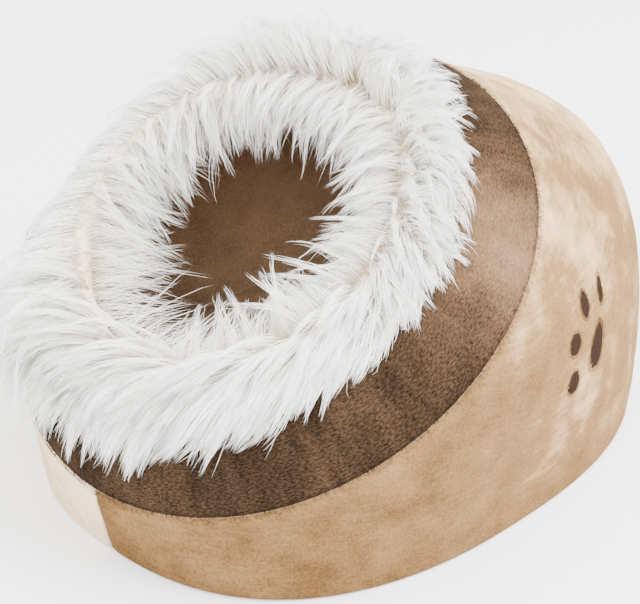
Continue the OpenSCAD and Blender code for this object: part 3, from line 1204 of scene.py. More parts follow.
@dataclass
class Hood:
    """The brown plush ring between the round seam and the trim, and its lining."""

    shape: BedShape
    nap: float = 0.4 * MM

    def build(self) -> None:
        """Makes the outer ring and the lining ring."""
        ring = Panel("hood_plush", Finish.BROWN, 288, 24, joined=True)
        settle(ring.lay(self._ring), CAVE, "brown_plush", "hood_cover")
        inner = Panel(
            "hood_lining_plush", Finish.LINING, 160, 10, joined=True, inwards=True, subdivide=False
        )
        settle(inner.lay(self._lining), CAVE, "brown_plush", "hood_lining")

    def _ring(self, u: Array, v: Array) -> tuple[Array, Array]:
        """Places and sizes of the outer ring, from the seam to under the trim.

        Args:
            u: shares across the panel.
            v: shares up the panel.

        Returns:
            The places and the UVs in metres.
        """
        turn = u * 2 * np.pi
        angle = self.shape.seam_angle - 0.06 + (self.shape.strip_angle - 1.0 - self.shape.seam_angle) * v
        along = np.radians(self.shape.seam_angle - angle) * self.shape.ball_r
        face = self.shape.ball_point(turn, angle, self.shape.ball_r)
        lift = (self.nap + undulate(face, 9.0)) * smooth(along / (14 * MM))
        loop = np.stack([np.cos(turn) * 4, np.sin(turn) * 4, turn * 0], -1)
        lift += (0.8 + 0.5 * soft_noise(loop * 1.7, 1.0, 2.0)) * MM * bell(along - 8 * MM, 6 * MM)
        lift -= 0.8 * MM * bell(along, 2.4 * MM)
        places = self.shape.ball_point(turn, angle, self.shape.ball_r + lift)
        return places, np.stack([turn * 0.15, along], -1)

    def _lining(self, u: Array, v: Array) -> tuple[Array, Array]:
        """Places and sizes of the lining ring.

        Args:
            u: shares across the panel.
            v: shares up the panel.

        Returns:
            The places and the UVs in metres.
        """
        turn = u * 2 * np.pi
        angle = self.shape.seam_angle - 0.2 + (self.shape.strip_angle + 0.2 - self.shape.seam_angle) * v
        r = self.shape.ball_r - self.shape.lining_in - 0.4 * MM
        return self.shape.ball_point(turn, angle, r), np.stack([turn * 0.13, np.radians(angle) * r], -1)


@dataclass
class RimSection:
    """The trim strip's section: a line over the rolled rim, measured from the parting outwards."""

    shape: BedShape
    parting: float = 40.0
    points: Array = field(init=False)
    length: Array = field(init=False)

    def __post_init__(self) -> None:
        """Lays out the section from the inner edge to the outer edge."""
        s = self.shape
        lean = math.radians(s.rim_angle)
        outer_way = np.array([math.sin(lean), math.cos(lean)])
        mouth_way = np.array([-math.cos(lean), math.sin(lean)])
        inner_r = s.ball_r - s.lining_in
        inner = np.radians(np.linspace(s.strip_angle, s.rim_angle + 0.3, 12))
        inner_arc = np.stack([inner_r * np.sin(inner), s.ball_h + inner_r * np.cos(inner)], -1)
        roll = np.radians(np.linspace(178.0, 2.0, 60))[:, None]
        cap = np.array(s.rim_centre) + s.rim_outer_r * (np.cos(roll) * outer_way + np.sin(roll) * mouth_way)
        outer = np.radians(np.linspace(s.rim_angle + 0.3, s.strip_angle, 12))
        outer_arc = np.stack([s.ball_r * np.sin(outer), s.ball_h + s.ball_r * np.cos(outer)], -1)
        self.points = np.concatenate([inner_arc, cap, outer_arc])
        steps = np.linalg.norm(np.diff(self.points, axis=0), axis=1)
        run = np.concatenate([[0.0], np.cumsum(steps)])
        part = len(inner_arc) + int(np.argmin(np.abs(np.degrees(roll[:, 0]) - self.parting)))
        self.length = run - run[part]

    @property
    def reach(self) -> tuple[float, float]:
        """Distances from the parting to the inner and outer edges, the inner one negative."""
        return float(self.length[0]), float(self.length[-1])

    def at(self, w: Array) -> Array:
        """Radius and height at distances from the parting."""
        return np.stack([np.interp(w, self.length, self.points[:, k]) for k in (0, 1)], -1)

    def out(self, w: Array) -> Array:
        """Outward directions of the section at distances from the parting, as radius and height."""
        run = self.at(w + 1.0 * MM) - self.at(w - 1.0 * MM)
        return unit(np.stack([-run[:, 1], run[:, 0]], -1))


@dataclass(frozen=True)
class Combing:
    """How the hair on one side of the parting is planted, cut and combed.

    Lengths in millimetres and uprightness are given at equal steps round the mouth, from the right and
    on by the back. Locks stand in rows from the parting to the strip's edge.
    """

    rows: int
    across: int
    lengths: tuple[float, ...]
    stand: tuple[float, ...]
    gain: float
    loss: float
    scatter: float
    root_spread: tuple[float, float]
    sway: float
    reach: tuple[float, float]
    tight: tuple[float, float]
    thick: float


class Side(Enum):
    """The two sides of the parting."""

    OUTER = Combing(
        rows=7,
        across=46,
        lengths=(40.0, 40.0, 45.0, 55.0, 47.0, 32.0, 27.0, 54.0, 104.0, 78.0, 62.0, 52.0),
        stand=(2.6, 2.6, 2.9, 3.2, 2.6, 1.2, 0.8, 0.9, 1.1, 1.2, 1.6, 2.2),
        gain=1.08,
        loss=0.55,
        scatter=7.0,
        root_spread=(2.5 * MM, 2.4 * MM),
        sway=0.18,
        reach=(0.80, 0.19),
        tight=(0.82, 0.98),
        thick=1.0,
    )
    INNER = Combing(
        rows=8,
        across=46,
        lengths=(49.0, 46.0, 41.0, 38.0, 39.0, 41.0, 45.0, 50.0, 58.0, 64.0, 64.0, 56.0),
        stand=(2.2,),
        gain=1.0,
        loss=0.35,
        scatter=8.5,
        root_spread=(2.0 * MM, 2.0 * MM),
        sway=0.36,
        reach=(0.75, 0.23),
        tight=(0.9, 0.99),
        thick=0.85,
    )


@dataclass
class FurTrim:
    """The long-pile trim: a knitted strip over the rim and thousands of hairs in locks."""

    shape: BedShape
    section: RimSection
    sectors: int = 4
    hairs_per_piece: int = 7100
    hair_r: float = 0.22 * MM
    sparse_at: float = 105.0
    ends: int = 6
    stray_share: float = 0.05
    mouth_r: float = 110.0 * MM
    proud: Triple = (14.0 * MM, 18.0 * MM, 16.0 * MM)
    lift_room: float = 41.0 * MM
    soft: float = 5.0 * MM

    def build(self) -> None:
        """Makes the strip and the hair."""
        strip = Panel("trim_strip", Finish.KNIT, 240, 40, joined=True, thick=0.5 * MM, subdivide=False)
        settle(strip.lay(self._strip), CAVE, "fur_backing", "fur_backing")
        fibres = Fibres(rings=5)
        for number in range(self.sectors):
            for side in Side:
                self._sector(fibres, number, side)

    def _strip(self, u: Array, v: Array) -> tuple[Array, Array]:
        """Places and sizes of the knitted strip.

        Args:
            u: shares across the panel.
            v: shares up the panel.

        Returns:
            The places and the UVs in metres.
        """
        turn = u * 2 * np.pi
        low, high = self.section.reach
        w = low + (high - low) * v
        place = self.section.at(w)
        spots = np.stack([np.cos(turn) * 5, np.sin(turn) * 5, w * 60], -1)
        lift = (0.15 + 0.25 * soft_noise(spots, 1.0, 1.0)) * MM
        place = place + self.section.out(w) * lift[:, None]
        uvs = np.stack([turn * self.mouth_r, w], -1)
        return self.shape.ring_point(turn, place[:, 0], place[:, 1]), uvs

    @staticmethod
    def _by_angle(turn: Array, values: Sequence[float]) -> Array:
        """A value given at equal steps round the mouth from the right, read smoothly in between."""
        places = np.linspace(0, 2 * np.pi, len(values), endpoint=False)
        return np.interp(np.mod(turn, 2 * np.pi), places, values, period=2 * np.pi)

    def _sector(self, fibres: Fibres, number: int, side: Side) -> None:
        """Makes the hair of one stretch of the trim, on one side of the parting.

        Args:
            fibres: makes the mesh.
            number: which stretch, from 0.
            side: the side of the parting.
        """
        rng = np.random.default_rng(100 + number * 2 + int(side is Side.OUTER))
        span = 2 * np.pi / self.sectors
        start = number * span - span / 2 - np.pi / 2
        paths, radius, turn = self._hairs(rng, start, span, side)
        word = side.name.lower()
        name = f"fur_{word}_{number + 1}"
        mesh = fibres.mesh(name, paths, radius, (turn - start) / span)
        fur = new_object(name, mesh, Finish.FUR)
        settle(fur, CAVE, "fur_pile", f"fur_pile_{word}")

    def _hairs(
        self, rng: np.random.Generator, start: float, span: float, side: Side
    ) -> tuple[Array, Array, Array]:
        """Lays out hairs in locks.

        Args:
            rng: the seeded source of chance.
            start: angle where the stretch begins.
            span: angle that it covers.
            side: the side of the parting.

        Returns:
            The hairs' paths, their root radii and their root angles.
        """
        comb = side.value
        turn, w, depth, front = self._plant(rng, start, span, side)
        locks = len(turn)
        length = comb.gain * self._by_angle(turn, comb.lengths) * MM * (1 - comb.loss * depth)
        length = length + rng.normal(0, comb.scatter, locks) * MM
        centre = self._grow(rng, turn, w, depth, length, side)
        plenty = np.ones(locks)
        if side is Side.INNER:
            plenty = (1 - 0.5 * smooth((depth - 0.15) / 0.35)) * (1 - 0.88 * front)
        share = self.hairs_per_piece * rng.dirichlet(np.full(locks, 30.0)) * plenty
        owner = np.repeat(np.arange(locks), np.maximum(1, share.astype(int)))
        count = len(owner)
        spread = rng.normal(0, 1.0, (count, 2)) * np.array(comb.root_spread)
        root_turn = turn[owner] + spread[:, 0] / self.mouth_r
        low, high = self._root_limits(side)
        place = self.section.at(np.clip(w[owner] + spread[:, 1], low, high))
        root = self.shape.ring_point(root_turn, place[:, 0], place[:, 1])
        part = np.clip(rng.normal(*comb.reach, count), 0.3, 1.15)
        ends = np.linspace(0, 1, self.ends)
        line = self._along(centre[owner], np.minimum(part[:, None] * ends[None], 1.0))
        tight = rng.uniform(*comb.tight, locks)
        clump = np.where(rng.random(locks) < 0.75, tight, rng.uniform(0.5, 0.8, locks))[owner]
        stray = rng.random(count) < self.stray_share
        clump[stray] = rng.uniform(-0.2, 0.3, stray.sum())
        hold = 1 - clump[:, None] * ends[None] ** 1.25
        line = line + (root - centre[owner, 0])[:, None] * hold[..., None]
        wobble = rng.normal(0, 1.0, (count, 1, 3)) * np.where(stray, 4.0, 0.7)[:, None, None] * MM
        wave = rng.normal(0, 0.5, (count, 1, 3)) * MM
        line += wobble * (ends**1.4)[None, :, None] + wave * np.sin(ends * np.pi * 1.7)[None, :, None]
        line[:, 0] = root
        line = self._within(line, side)
        return line, self.hair_r * rng.uniform(0.7, 1.1, count) * comb.thick, root_turn

    def _plant(
        self, rng: np.random.Generator, start: float, span: float, side: Side
    ) -> tuple[Array, Array, Array, Array]:
        """Sets the locks' roots in uneven rows.

        Args:
            rng: the seeded source of chance.
            start: angle where the stretch begins.
            span: angle that it covers.
            side: the side of the parting.

        Returns:
            The root angles, their distances from the parting, those distances as shares of the strip,
            and how far each root is in the sparse stretch in front.
        """
        comb = side.value
        low, high = self.section.reach
        edge = high - 1 * MM if side is Side.OUTER else low + 2 * MM
        steps = np.meshgrid(np.arange(comb.across), np.arange(comb.rows), indexing="ij")
        cell = np.stack(steps, -1).reshape(-1, 2)
        cell = cell + rng.uniform(0.05, 0.95, cell.shape)
        turn = start + span * cell[:, 0] / comb.across
        depth = cell[:, 1] / comb.rows
        loop = np.stack([np.cos(turn) * 2.6, np.sin(turn) * 2.6, turn * 0], -1)
        wander = soft_noise(loop, 1.0, 6.0)
        front = np.clip(np.cos(turn + math.radians(self.sparse_at)), 0, 1) ** 2
        parted = 4.0 * wander - 12.0 * front + rng.normal(0, 1.6, len(turn))
        return turn, edge * depth + (1 - depth) * parted * MM, depth, front

    def _root_limits(self, side: Side) -> tuple[float, float]:
        """Least and greatest distance of a root from the parting."""
        low, high = self.section.reach
        return (-18 * MM, high) if side is Side.OUTER else (low, 7 * MM)

    @staticmethod
    def _along(lines: Array, want: Array) -> Array:
        """Places at shares along lines.

        Args:
            lines: points, shaped lines by steps by 3.
            want: shares between 0 and 1, shaped lines by places.

        Returns:
            Points, shaped lines by places by 3.
        """
        steps = lines.shape[1]
        slot = want * (steps - 1)
        left = np.clip(np.floor(slot).astype(int), 0, steps - 2)
        rest = (slot - left)[..., None]
        pick = np.arange(len(lines))[:, None]
        return lines[pick, left] * (1 - rest) + lines[pick, left + 1] * rest

    def _grow(
        self, rng: np.random.Generator, turn: Array, w: Array, depth: Array, length: Array, side: Side
    ) -> Array:
        """Grows each lock's middle line from its root.

        Args:
            rng: the seeded source of chance.
            turn: root angles.
            w: root distances from the parting.
            depth: how far each root is from the parting, as a share of the strip.
            length: each lock's length.
            side: the side of the parting.

        Returns:
            Points along each lock, shaped locks by steps by 3.
        """
        shape, comb = self.shape, side.value
        count, steps = len(turn), 16
        place, away = self.section.at(w), self.section.out(w)
        point = shape.ring_point(turn, place[:, 0], place[:, 1])
        lift = away[:, :1] * shape.radial(turn) + away[:, 1:] * shape.out_of_mouth
        swirl = rng.normal(0, comb.sway, count) + 0.3 * np.sin(turn * 5 + 1.0) * np.sin(turn * 3)
        swirl += 0.2 * np.sin(turn * 17 + w * 90)
        heading = self._flow(point, side, swirl, np.zeros(count))
        upright = self._by_angle(turn, comb.stand)
        stand = np.clip(upright * (1 - 0.78 * depth) + rng.normal(0, 0.3, count), 0.15, 3.4)[:, None]
        heading = unit(heading + lift * stand)
        target = np.clip(8 * upright * (1 - 0.75 * depth) + rng.normal(0, 2.4, count), 1.0, 26.0) * MM
        limit = 0.10 + 0.06 * rng.random(count)
        line = [point]
        step = (length / (steps - 1))[:, None]
        for k in range(1, steps):
            share = k / (steps - 1)
            want = self._flow(point, side, swirl, target * (1 - 0.25 * share))
            turned = (limit * (0.6 + 1.0 * share))[:, None]
            heading = unit(heading * (1 - turned) + want * turned)
            point = self._clear(point + heading * step, side, 0.8 * MM)
            line.append(point)
        grown = np.stack(line, 1)
        share = np.linspace(0, 1, steps)
        bend = rng.normal(0, 1.0, (count, 1, 3)) * (1.9 * MM)
        phase = rng.uniform(1.1, 2.3, count)[:, None]
        grown += bend * (np.sin(share[None] * np.pi * phase) * share[None])[..., None]
        return grown

    def _flow(self, point: Array, side: Side, swirl: Array, target: Array) -> Array:
        """The way hair wants to lie at places round the rim.

        Args:
            point: places.
            side: the side of the parting.
            swirl: how much each lock turns sideways.
            target: height over the fabric that each lock settles at.

        Returns:
            One direction a place.
        """
        shape = self.shape
        rel = point - shape.seam_centre
        across, slope = rel @ WORLD_X, rel @ shape.up_slope
        turn = np.arctan2(slope, across)
        radial = shape.radial(turn)
        around = -np.sin(turn)[:, None] * WORLD_X + np.cos(turn)[:, None] * shape.up_slope
        if side is Side.OUTER:
            rise = point - shape.ball_centre
            up = unit(rise)
            over = np.linalg.norm(rise, axis=-1) - shape.ball_r
            down = -WORLD_Z + up * up[:, 2:]
            along = unit(radial - up * np.sum(radial * up, -1, keepdims=True))
            comb = -0.9 * shape.up_slope - 0.5 * WORLD_X
            sweep = comb - up * (up @ comb)[:, None]
            ahead = 0.3 + 1.35 * smooth(0.2 - np.sin(turn))[:, None]
            want = 0.42 * along + 0.75 * down + ahead * sweep + swirl[:, None] * around
            return unit(want - up * np.clip((over - target) / (7 * MM), -1.2, 1.2)[:, None])
        rim_r, rim_h = shape.rim_centre
        core = shape.ring_point(turn, rim_r, rim_h)
        off = point - core
        far = np.linalg.norm(off, axis=-1)
        up = off / np.maximum(far, 1e-6)[:, None]
        inward = -radial * 0.95 - 0.30 * shape.out_of_mouth
        along = unit(np.cross(around, up))
        along *= np.sign(np.sum(along * inward, -1, keepdims=True) + 1e-9)
        near = bell(np.maximum(far - shape.rim_outer_r, 0.0), 9 * MM)[:, None]
        want = along * near * 0.8 + inward * (1 - 0.5 * near) - 0.42 * WORLD_Z + swirl[:, None] * around
        return unit(want)

    def _within(self, line: Array, side: Side) -> Array:
        """Presses tips softly back towards the frame's box, and keeps inner ones over the lifted cushion.

        Args:
            line: the hairs' paths.
            side: the side of the parting.

        Returns:
            The paths, moved.
        """
        low, high = (np.array(corner) for corner in CAD_BOX)
        proud = np.array(self.proud)
        over, under = np.maximum(line - high, 0.0), np.maximum(low - line, 0.0)
        line = line - over + proud * np.tanh(over / proud) + under - proud * np.tanh(under / proud)
        if side is Side.INNER:
            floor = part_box("cushion_top")[1][2] + self.lift_room + self.soft
            short = np.maximum(floor - line[..., 2], 0.0)
            line[..., 2] += short - self.soft * np.tanh(short / self.soft)
        return line

    def _clear(self, point: Array, side: Side, gap: float) -> Array:
        """Moves places that lie in the hood or the rim out of it.

        Args:
            point: places.
            side: the side of the parting.
            gap: how far from the fabric they end up at least.

        Returns:
            The places, moved.
        """
        shape = self.shape
        if side is Side.OUTER:
            rise = point - shape.ball_centre
            far = np.linalg.norm(rise, axis=-1, keepdims=True)
            low = shape.ball_r + gap
            over = (point - shape.seam_centre) @ shape.out_of_mouth < 48 * MM
            return np.where((far < low) & over[:, None], shape.ball_centre + rise / far * low, point)
        rel = point - shape.seam_centre
        turn = np.arctan2(rel @ shape.up_slope, rel @ WORLD_X)
        rim_r, rim_h = shape.rim_centre
        core = shape.ring_point(turn, rim_r, rim_h)
        off = point - core
        far = np.linalg.norm(off, axis=-1, keepdims=True)
        low = shape.rim_outer_r + gap
        return np.where(far < low, core + off / np.maximum(far, 1e-6) * low, point)


@dataclass
class PawPrint:
    """Five embroidered pads sunk into the plush of the right wall."""

    shape: BedShape
    pads: Sequence[Pad] = PADS
    pile_r: float = 0.16 * MM
    pile_per_mm: float = 7.0

    def build(self) -> None:
        """Makes each pad and the pile that leans over its edge."""
        rng = np.random.default_rng(7)
        fibres = Fibres(rings=2)
        paths = []
        for pad in self.pads:
            panel = Panel(f"{pad.name}_stitches", Finish.PAW, 44, 9, joined=True, thick=0.0)
            piece = panel.lay(lambda u, v, p=pad: self._pad(p, u, v))
            settle(piece, CAVE, "paw_thread", pad.name)
            paths.append(self._fringe(rng, pad))
        fringe = np.concatenate(paths)
        radius = np.full(len(fringe), self.pile_r)
        mesh = fibres.mesh("paw_edge_pile", fringe, radius, rng.random(len(fringe)))
        mesh.uv_layers.new(name="UVMap")
        settle(new_object("paw_edge_pile", mesh, Finish.BEIGE), CAVE, "beige_plush")

    def _surface(self, y: Array, z: Array, lift: Array | float) -> Array:
        """Places over the right wall, given by depth, height and height over the fabric."""
        spot = self.shape.on_wall(y, z)
        return self.shape.wall_point(*spot) + self.shape.wall_out(*spot) * np.asarray(lift)[..., None]

    def _pad(self, pad: Pad, u: Array, v: Array) -> tuple[Array, Array]:
        """Places and sizes of one pad: domed, with ribs of satin stitch.

        Args:
            pad: the pad.
            u: shares across the panel.
            v: shares up the panel.

        Returns:
            The places and the UVs in metres.
        """
        angle = u * 2 * np.pi
        grow = 0.02 + 0.98 * v
        y, z = pad.outline(angle, grow)
        rib = 0.10 * MM * np.sin((y - z * 0.4) / (0.9 * MM))
        dome = (0.35 + 0.75 * (1 - grow**3)) * MM - 0.9 * MM * smooth((grow - 0.93) / 0.07)
        place = self._surface(y, z, dome + rib * (grow < 0.92))
        return place, np.stack([y, z], -1)

    def _fringe(self, rng: np.random.Generator, pad: Pad) -> Array:
        """Short pile that stands round a pad and leans over it.

        Args:
            rng: the seeded source of chance.
            pad: the pad.

        Returns:
            Paths, shaped fibres by 3 places by 3.
        """
        count = int(pad.half_long * 2 * self.pile_per_mm / MM)
        angle = rng.uniform(0, 2 * np.pi, count)
        grow = 1.0 + rng.uniform(0.02, 0.16, count)
        root = np.stack(pad.outline(angle, grow), -1)
        tip_angle = angle + rng.normal(0, 0.12, count)
        tip = np.stack(pad.outline(tip_angle, grow - rng.uniform(0.1, 0.34, count)), -1)
        levels = ((0.0, 0.1), (0.5, 0.9), (1.0, 1.25))
        spots = [root + (tip - root) * share for share, _ in levels]
        lifts = [height * MM * np.ones(count) for _, height in levels]
        return np.stack([self._surface(s[:, 0], s[:, 1], h) for s, h in zip(spots, lifts)], 1)


@dataclass
class SeamPile:
    """Short pile of both fabrics that stands in the valley of the round seam."""

    shape: BedShape
    count: int = 2600
    pile_r: float = 0.15 * MM

    def build(self) -> None:
        """Makes the brown and the beige fringe."""
        for seed, name, finish, slot, way in (
            (21, "seam_pile_brown", Finish.BROWN, "brown_plush", 1),
            (22, "seam_pile_beige", Finish.BEIGE, "beige_plush", -1),
        ):
            rng = np.random.default_rng(seed)
            paths = self._paths(rng, way)
            radius = np.full(len(paths), self.pile_r)
            mesh = Fibres(rings=2).mesh(name, paths, radius, rng.random(len(paths)))
            mesh.uv_layers.new(name="UVMap")
            settle(new_object(name, mesh, finish), CAVE, slot)

    def _paths(self, rng: np.random.Generator, way: int) -> Array:
        """Roots on one side of the seam, with tips over the valley.

        Args:
            rng: the seeded source of chance.
            way: 1 for the hood side and -1 for the wall side.

        Returns:
            Paths, shaped fibres by 3 places by 3.
        """
        turn = rng.uniform(0, 2 * np.pi, self.count)
        back = rng.uniform(1.0, 4.5, self.count) * MM
        lean = rng.normal(0, 0.004, self.count)
        reach = rng.uniform(1.4, 3.0, self.count) * MM
        shape, spots = self.shape, []
        for share, lift in ((0.0, -0.6), (0.5, 0.3), (1.0, 0.45)):
            from_seam = back - reach * share
            if way > 0:
                angle = shape.seam_angle - np.degrees(from_seam / shape.ball_r)
                spots.append(shape.ball_point(turn + lean * share, angle, shape.ball_r + lift * MM))
            else:
                level = 1 - np.maximum(from_seam, 0) / shape.wall_reach(turn)
                over = np.maximum(-from_seam, 0)[:, None] * shape.out_of_mouth
                out = shape.wall_out(turn, level) * lift * MM
                spots.append(shape.wall_point(turn + lean * share, level) + over + out)
        return np.stack(spots, 1)


@dataclass
class LooseCushion:
    """The stuffed oval cushion that lies inside."""

    shape: BedShape
    frames: int = 18
    pressure: float = 3.5
    cap: float = 7.0 * MM
    piping_r: float = 1.3 * MM
    face_thick: float = 0.8 * MM

    def build(self) -> None:
        """Blows the cushion up and cuts it into its top and bottom faces."""
        low, high = (np.array(c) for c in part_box("cushion_filling"))
        mid = (low + high) / 2
        half = (high - low) / 2
        filling = self._body("cushion_stuffing", half - 1.2 * MM, mid, 3, Finish.FOAM)
        settle(filling, CUSHION, "foam", "cushion_filling")
        whole = self._body("cushion_whole", half + np.array([4.5, 4.5, -1.0]) * MM, mid, 4, Finish.LINING)
        rest = np.array([v.co[:] for v in whole.data.vertices])
        self._inflate(whole, mid[2])
        now = np.array([v.co[:] for v in whole.data.vertices])
        moved = now - rest
        far = np.linalg.norm(moved, axis=1, keepdims=True)
        now = rest + moved * np.minimum(1.0, self.cap / np.maximum(far, 1e-9))
        floor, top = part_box("cushion_bottom")[0][2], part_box("cushion_top")[1][2]
        now[:, 2] = np.clip(now[:, 2], floor + 0.2 * MM, top + 2 * MM)
        for vert, co in zip(whole.data.vertices, now):
            vert.co = co
        for name, upper in (("cushion_face_top", True), ("cushion_face_bottom", False)):
            self._face(whole, name, upper, mid[2])
        bpy.data.objects.remove(whole)
        self._piping(mid)

    def _body(self, name: str, half: Array, mid: Array, cuts: int, finish: Finish) -> bpy.types.Object:
        """A closed pillow form: a cube, subdivided and pressed into an oval with a thin rim.

        Args:
            name: the body's name.
            half: half sizes along X, Y and Z.
            mid: the cushion's middle.
            cuts: how finely it is divided.
            finish: its finish.

        Returns:
            The object.
        """
        bm = bmesh.new()
        bmesh.ops.create_cube(bm, size=2.0)
        bmesh.ops.subdivide_edges(bm, edges=bm.edges, cuts=2**cuts * 2 - 1, use_grid_fill=True)
        for vert in bm.verts:
            x, y, z = vert.co
            edge = max(abs(x), abs(y))
            turn = math.atan2(y, x)
            flat = self.shape.oval(1.0, 1.0, np.array([turn]))[0]
            across = edge if abs(z) > 0.999 else 1.0
            crown = (1 - across**2.6) ** 0.55 if across < 1 else 0.0
            height = math.copysign(0.06 + 0.94 * crown, z) if abs(z) > 0.999 else 0.06 * z
            vert.co = mid + half * np.array([flat[0] * across, flat[1] * across, height])
        bmesh.ops.recalc_face_normals(bm, faces=bm.faces)
        uv_layer = bm.loops.layers.uv.new("UVMap")
        for face in bm.faces:
            for loop in face.loops:
                loop[uv_layer].uv = loop.vert.co[:2]
        mesh = bpy.data.meshes.new(name)
        bm.to_mesh(mesh)
        bm.free()
        return new_object(name, mesh, finish)

    def _inflate(self, whole: bpy.types.Object, mid: float) -> None:
        """Runs the cloth simulation with the rim held and applies it.

        Args:
            whole: the whole cushion.
            mid: height of the cushion's middle.
        """
        rim = whole.vertex_groups.new(name="rim")
        held = [v.index for v in whole.data.vertices if abs(v.co.z - mid) < 2.2 * MM]
        rim.add(held, 1.0, "REPLACE")
        cloth = whole.modifiers.new("cloth", "CLOTH")
        settings = cloth.settings
        settings.use_pressure = True
        settings.uniform_pressure_force = self.pressure
        settings.vertex_group_mass = "rim"
        settings.effector_weights.gravity = 0.0
        settings.quality = 5
        cloth.point_cache.frame_end = self.frames
        for number in range(1, self.frames + 1):
            bpy.context.scene.frame_set(number)
        fixed = bpy.data.meshes.new_from_object(whole.evaluated_get(bpy.context.evaluated_depsgraph_get()))
        whole.modifiers.clear()
        whole.data = fixed
        bpy.context.scene.frame_set(1)

    def _face(self, whole: bpy.types.Object, name: str, upper: bool, mid: float) -> None:
        """Cuts one face of the cushion at its seam and gives it cloth thickness.

        Args:
            whole: the whole cushion.
            name: the face's name.
            upper: True for the top face.
            mid: height of the cushion's middle.
        """
        bm = bmesh.new()
        bm.from_mesh(whole.data)
        way = -1 if upper else 1
        bmesh.ops.bisect_plane(
            bm,
            geom=bm.verts[:] + bm.edges[:] + bm.faces[:],
            plane_co=(0, 0, mid + 0.1 * MM * -way),
            plane_no=(0, 0, way),
            clear_outer=True,
        )
        mesh = bpy.data.meshes.new(name)
        bm.to_mesh(mesh)
        bm.free()
        piece = new_object(name, mesh, Finish.LINING)
        fine = piece.modifiers.new("soft", "SUBSURF")
        fine.levels = fine.render_levels = 1
        wall = piece.modifiers.new("cloth", "SOLIDIFY")
        wall.thickness = self.face_thick
        wall.offset = -1.0
        settle(piece, CUSHION, "brown_plush", "cushion_top" if upper else "cushion_bottom")

    def _piping(self, mid: Array) -> None:
        """A sewn cord round the cushion's seam.

        Args:
            mid: the cushion's middle.
        """
        low, high = (np.array(c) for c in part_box("cushion_seam"))
        half = (high - low) / 2
        panel = Panel(
            "cushion_piping", Finish.BROWN_THREAD, 200, 10, joined=True, thick=0.0, subdivide=False
        )

        def place(u: Array, v: Array) -> tuple[Array, Array]:
            """Places round the piping's own section.

            Args:
                u: shares round the cushion.
                v: shares round the piping's section.

            Returns:
                The places and the UVs in metres.
            """
            turn, ring = u * 2 * np.pi, v * 2 * np.pi
            flat = self.shape.oval(half[0], half[1], turn)
            away = unit(np.stack([np.cos(turn) / half[0], np.sin(turn) / half[1]], -1))
            r = self.piping_r
            flat = flat + away * (r * np.cos(ring))[:, None]
            return np.c_[flat, mid[2] + r * np.sin(ring)], np.stack([turn * 0.14, ring * r], -1)

        settle(panel.lay(place), CUSHION, "brown_thread", "cushion_seam")


@dataclass
class HiddenPieces:
    """The foam and the threads, whose shapes in the frame are right as they are."""

    foam: Sequence[str] = ("base_foam", "wall_foam_left", "wall_foam_right", "hood_foam")
    beige_threads: Sequence[str] = ("base_seam", "front_seam", "rear_seam")
    brown_threads: Sequence[str] = ("hood_seam", "rim_seam_outer", "rim_seam_inner")

    def dress(self) -> None:
        """Gives each kept node its finish."""
        for names, finish, slot in (
            (self.foam, Finish.FOAM, "foam"),
            (self.beige_threads, Finish.BEIGE_THREAD, "beige_thread"),
            (self.brown_threads, Finish.BROWN_THREAD, "brown_thread"),
        ):
            for name in names:
                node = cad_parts[name]
                node.data.materials.clear()
                node.data.materials.append(finish.material())


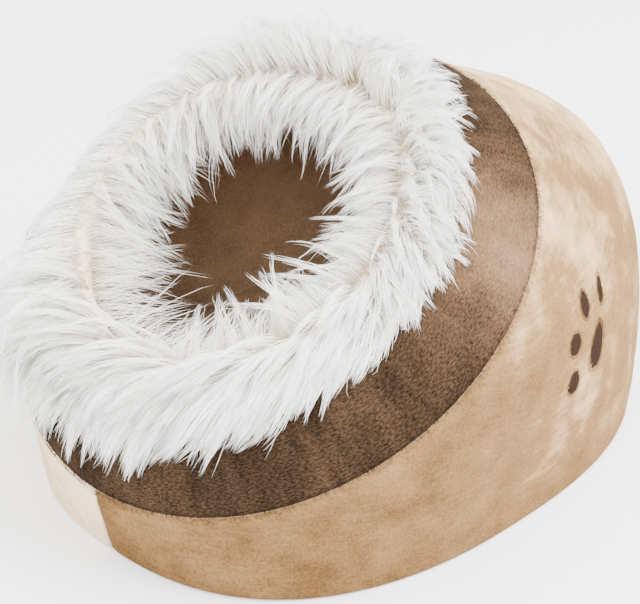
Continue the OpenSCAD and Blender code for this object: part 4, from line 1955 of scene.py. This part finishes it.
@dataclass
class Studio:
    """Floor, lights and camera."""

    azimuth: float = 44.53
    elevation: float = 29.73
    distance: float = 1.324
    lens: float = 117.56
    target: Triple = (0.0, 0.0, 0.1067)
    shift: tuple[float, float] = (-0.037, -0.036)
    sky: float = 3.5
    lamps: Sequence[tuple[str, Triple, float, float]] = (
        ("key", (1.25, 0.55, 1.9), 1.4, 178.0),
        ("fill_left", (-1.7, -1.3, 1.2), 1.8, 48.0),
        ("fill_front", (1.1, -1.5, 1.7), 1.2, 80.0),
    )

    def build(self) -> None:
        """Makes the floor, the lights and the camera."""
        self._floor()
        for lamp in self.lamps:
            self._light(*lamp)
        world = bpy.data.worlds.new("studio")
        world.use_nodes = True
        world.node_tree.nodes["Background"].inputs["Color"].default_value = (1.0, 1.0, 1.0, 1.0)
        world.node_tree.nodes["Background"].inputs["Strength"].default_value = self.sky
        bpy.context.scene.world = world
        self._camera()

    def _floor(self) -> None:
        """A wide pale sheet under the bed."""
        bm = bmesh.new()
        bmesh.ops.create_grid(bm, x_segments=4, y_segments=4, size=6.0)
        mesh = bpy.data.meshes.new("floor")
        bm.to_mesh(mesh)
        bm.free()
        floor = new_object("floor", mesh, Finish.FLOOR)

    def _light(self, name: str, place: Triple, size: float, power: float) -> None:
        """A soft square lamp that looks at the bed.

        Args:
            name: the lamp's name.
            place: its place.
            size: the length of its side.
            power: its power in watts.
        """
        data = bpy.data.lights.new(name, "AREA")
        data.shape = "SQUARE"
        data.size = size
        data.energy = power
        lamp = bpy.data.objects.new(name, data)
        lamp.location = place
        lamp.rotation_euler = (Vector((0, 0, 0.1)) - Vector(place)).to_track_quat("-Z", "Y").to_euler()
        bpy.context.scene.collection.objects.link(lamp)

    def _camera(self) -> None:
        """The camera at the view that the bed is judged from."""
        az, el = math.radians(self.azimuth), math.radians(self.elevation)
        back = Vector((math.sin(az) * math.cos(el), -math.cos(az) * math.cos(el), math.sin(el)))
        data = bpy.data.cameras.new("camera")
        data.lens = self.lens
        data.sensor_width = 36.0
        data.shift_x, data.shift_y = self.shift
        camera = bpy.data.objects.new("camera", data)
        camera.location = Vector(self.target) + back * self.distance
        camera.rotation_euler = (-back).to_track_quat("-Z", "Y").to_euler()
        bpy.context.scene.collection.objects.link(camera)
        bpy.context.scene.camera = camera


def main() -> None:
    """Builds every sub-assembly in order."""
    logging.basicConfig(level=logging.INFO, format="%(name)s %(message)s")
    shape = BedShape()
    Studio().build()
    HiddenPieces().dress()
    Base(shape).build()
    Wall(shape).build()
    Hood(shape).build()
    SeamPile(shape).build()
    PawPrint(shape).build()
    LooseCushion(shape).build()
    FurTrim(shape, RimSection(shape)).build()


if __name__ == "__main__":
    main()
